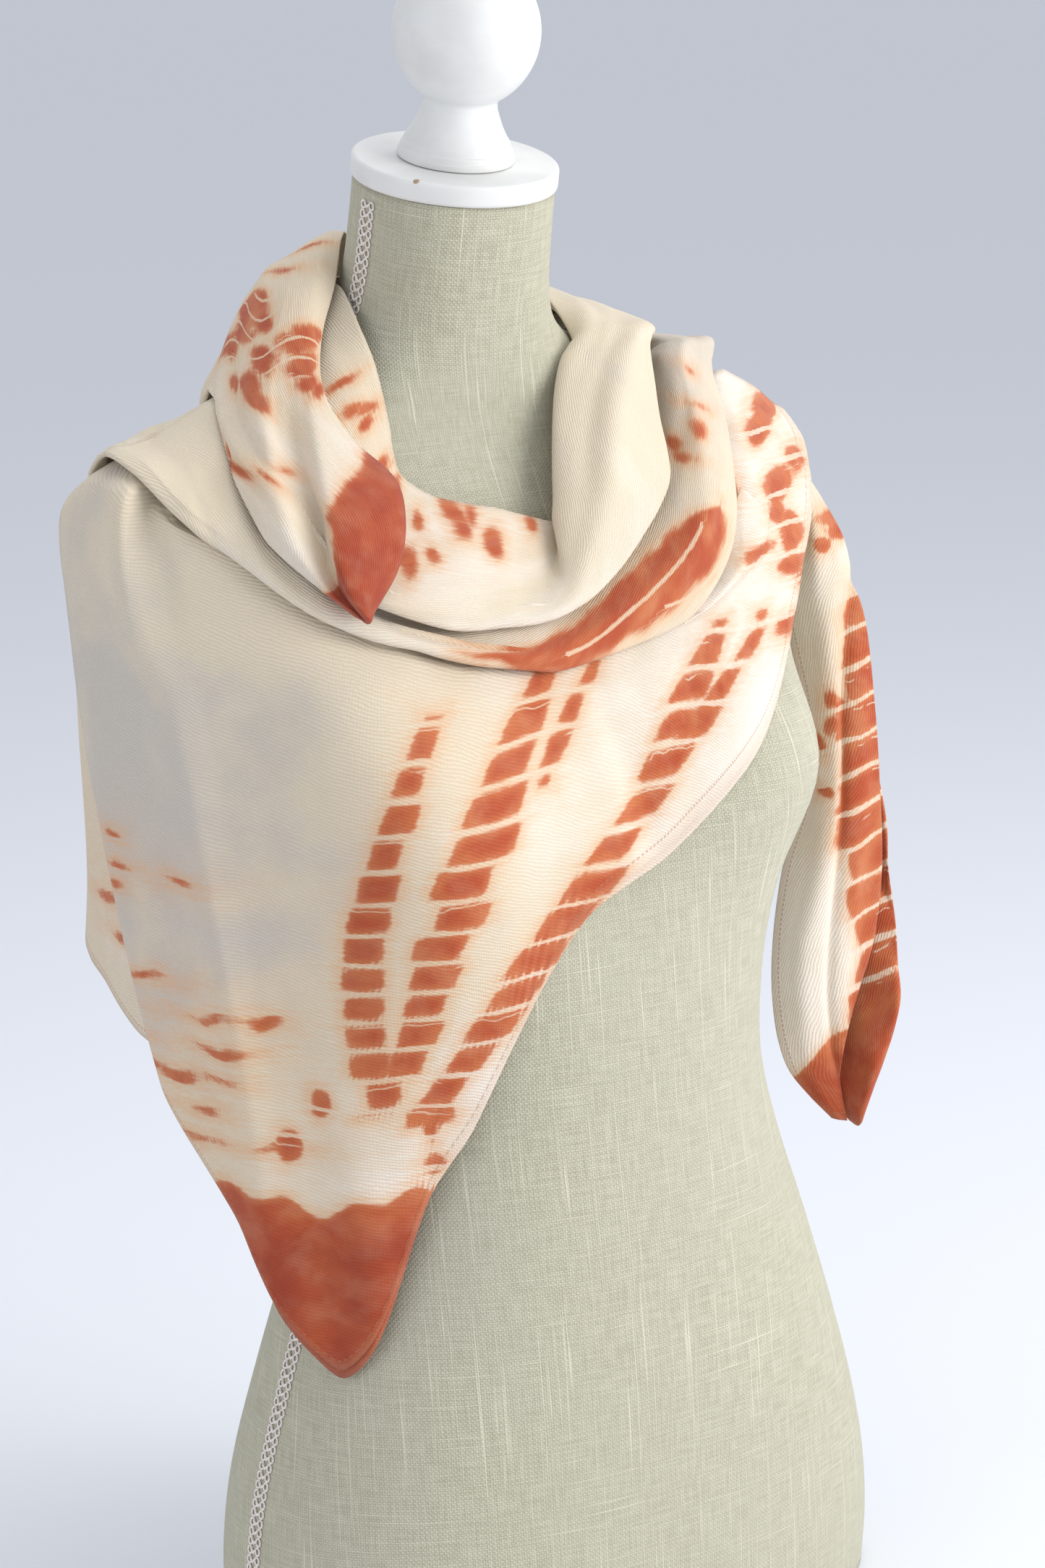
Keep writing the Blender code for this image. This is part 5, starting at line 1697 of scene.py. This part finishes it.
# The tucked roll.
# The shawl's other corner, brought round the viewer's left of the neck and tucked down into the
# cowl. It stands up beside the neck, hollowed in the middle, and ends in solid terracotta.
ROLL = (
    # crest x, y, z; ridge; valley; swell; outer; edge
    ((-8, 91, 676), (-7, 92, 672), (-7, 94, 668), (-7, 96, 664), (-7, 98, 658), (-8, 100, 652)),
    ((-38, 95, 702), (-38, 99, 702), (-39, 104, 698), (-40, 109, 692), (-41, 113, 684), (-41, 114, 676)),
    ((-71, 83, 710), (-76, 91, 712), (-83, 101, 707), (-90, 113, 697), (-98, 125, 680), (-99, 127, 663)),
    ((-75, 62, 715), (-82, 66, 715), (-90, 72, 712), (-99, 80, 706), (-110, 96, 693), (-138, 106, 630)),
    ((-79, 12, 694), (-87, 6, 698), (-95, 6, 698), (-103, 10, 697), (-124, 44, 688), (-155, 76, 608)),
    ((-86, -16, 670), (-91, -24, 671), (-99, -26, 672), (-110, -22, 672), (-135, 16, 666), (-152, 35, 628)),
    ((-84, -52, 647), (-91, -62, 644), (-101, -60, 642), (-113, -56, 644), (-137, -14, 643),
     (-142, 13, 638)),
    ((-71, -68, 627), (-87, -88, 621), (-98, -76, 618), (-112, -86, 623), (-133, -60, 624),
     (-128, -72, 617)),
    ((-51, -78, 608), (-82, -110, 597), (-90, -94, 594), (-106, -108, 601), (-124, -94, 606),
     (-120, -98, 602)),
    ((-47, -92, 590), (-79, -124, 581), (-85, -110, 578), (-98, -120, 582), (-111, -110, 585),
     (-108, -107, 581)),
    ((-51, -108, 570), (-74, -130, 564), (-78, -120, 562), (-86, -124, 565), (-93, -116, 567),
     (-91, -112, 565)),
    ((-64, -118, 550), (-65, -123, 547), (-67, -120, 546), (-69, -121, 548), (-73, -119, 550),
     (-72, -115, 550)),
)
ROLL_FOLDS = (
    # along, across, direction, half length, half width, height
    (180, 50, 4, 50, 6, 1.2),
    (200, 90, -6, 50, 7, -1.6),
    (230, 110, -8, 50, 7, 1.8),
    (262, 70, 8, 30, 6, -1.8),
    (278, 46, 12, 34, 6, 1.8),
    (292, 64, 4, 34, 5, -2.2),
    (318, 84, 3, 40, 7, 1.8),
    (300, 96, 5, 40, 5, -1.4),
    (340, 100, 0, 40, 6, 1.2),
    (350, 58, -3, 36, 6, -0.8),
    (140, 100, 6, 50, 8, 1.6),
    (110, 60, 5, 50, 7, -1.4),
    (80, 90, 8, 40, 8, 1.6),
)
ROLL_STAINS = (
    scattered(22, 22, (245, 42), (36, 38), (8, 9)) + scattered(23, 4, (170, 26), (30, 16), (4, 14))
    + scattered(24, 6, (325, 80), (26, 30), (5, 6))
)

roll, _ = lay(
    ROLL, 3, 2, (5, 5), on_form + [outer_tree, inner_tree], fine_on_form + [fine_outer, fine_inner],
    fold=False, free=5, folds=ROLL_FOLDS,
)
along, across = pattern_place(roll, 0.5)
corner = np.minimum(along - (320 + 0.45 * across + 2 * np.sin(across / 7)), 50 - across)
corner = np.minimum(corner, 12)
depth = np.maximum(corner, spots(along, across, ROLL_STAINS))
marks = {
    "dye": depth,
    "ties": (along + 9 * np.sin(across / 9)) / 13.5,
    "tied": ((along > 205) & (along < 262)).astype(float),
    "haze": bled(depth),
    "tone_and_painted_light": np.interp(along, (0, 200, 270, 320, 400), (0.4, 0.45, 0.62, 0.72, 0.72)),
    "deep": np.clip(corner / 9, 0, 0.85),
}
finish_cloth(
    "shawl_roll_cloth", "shawl_roll", roll, marks, cashmere("cashmere, roll", 4.2, 1.9),
)
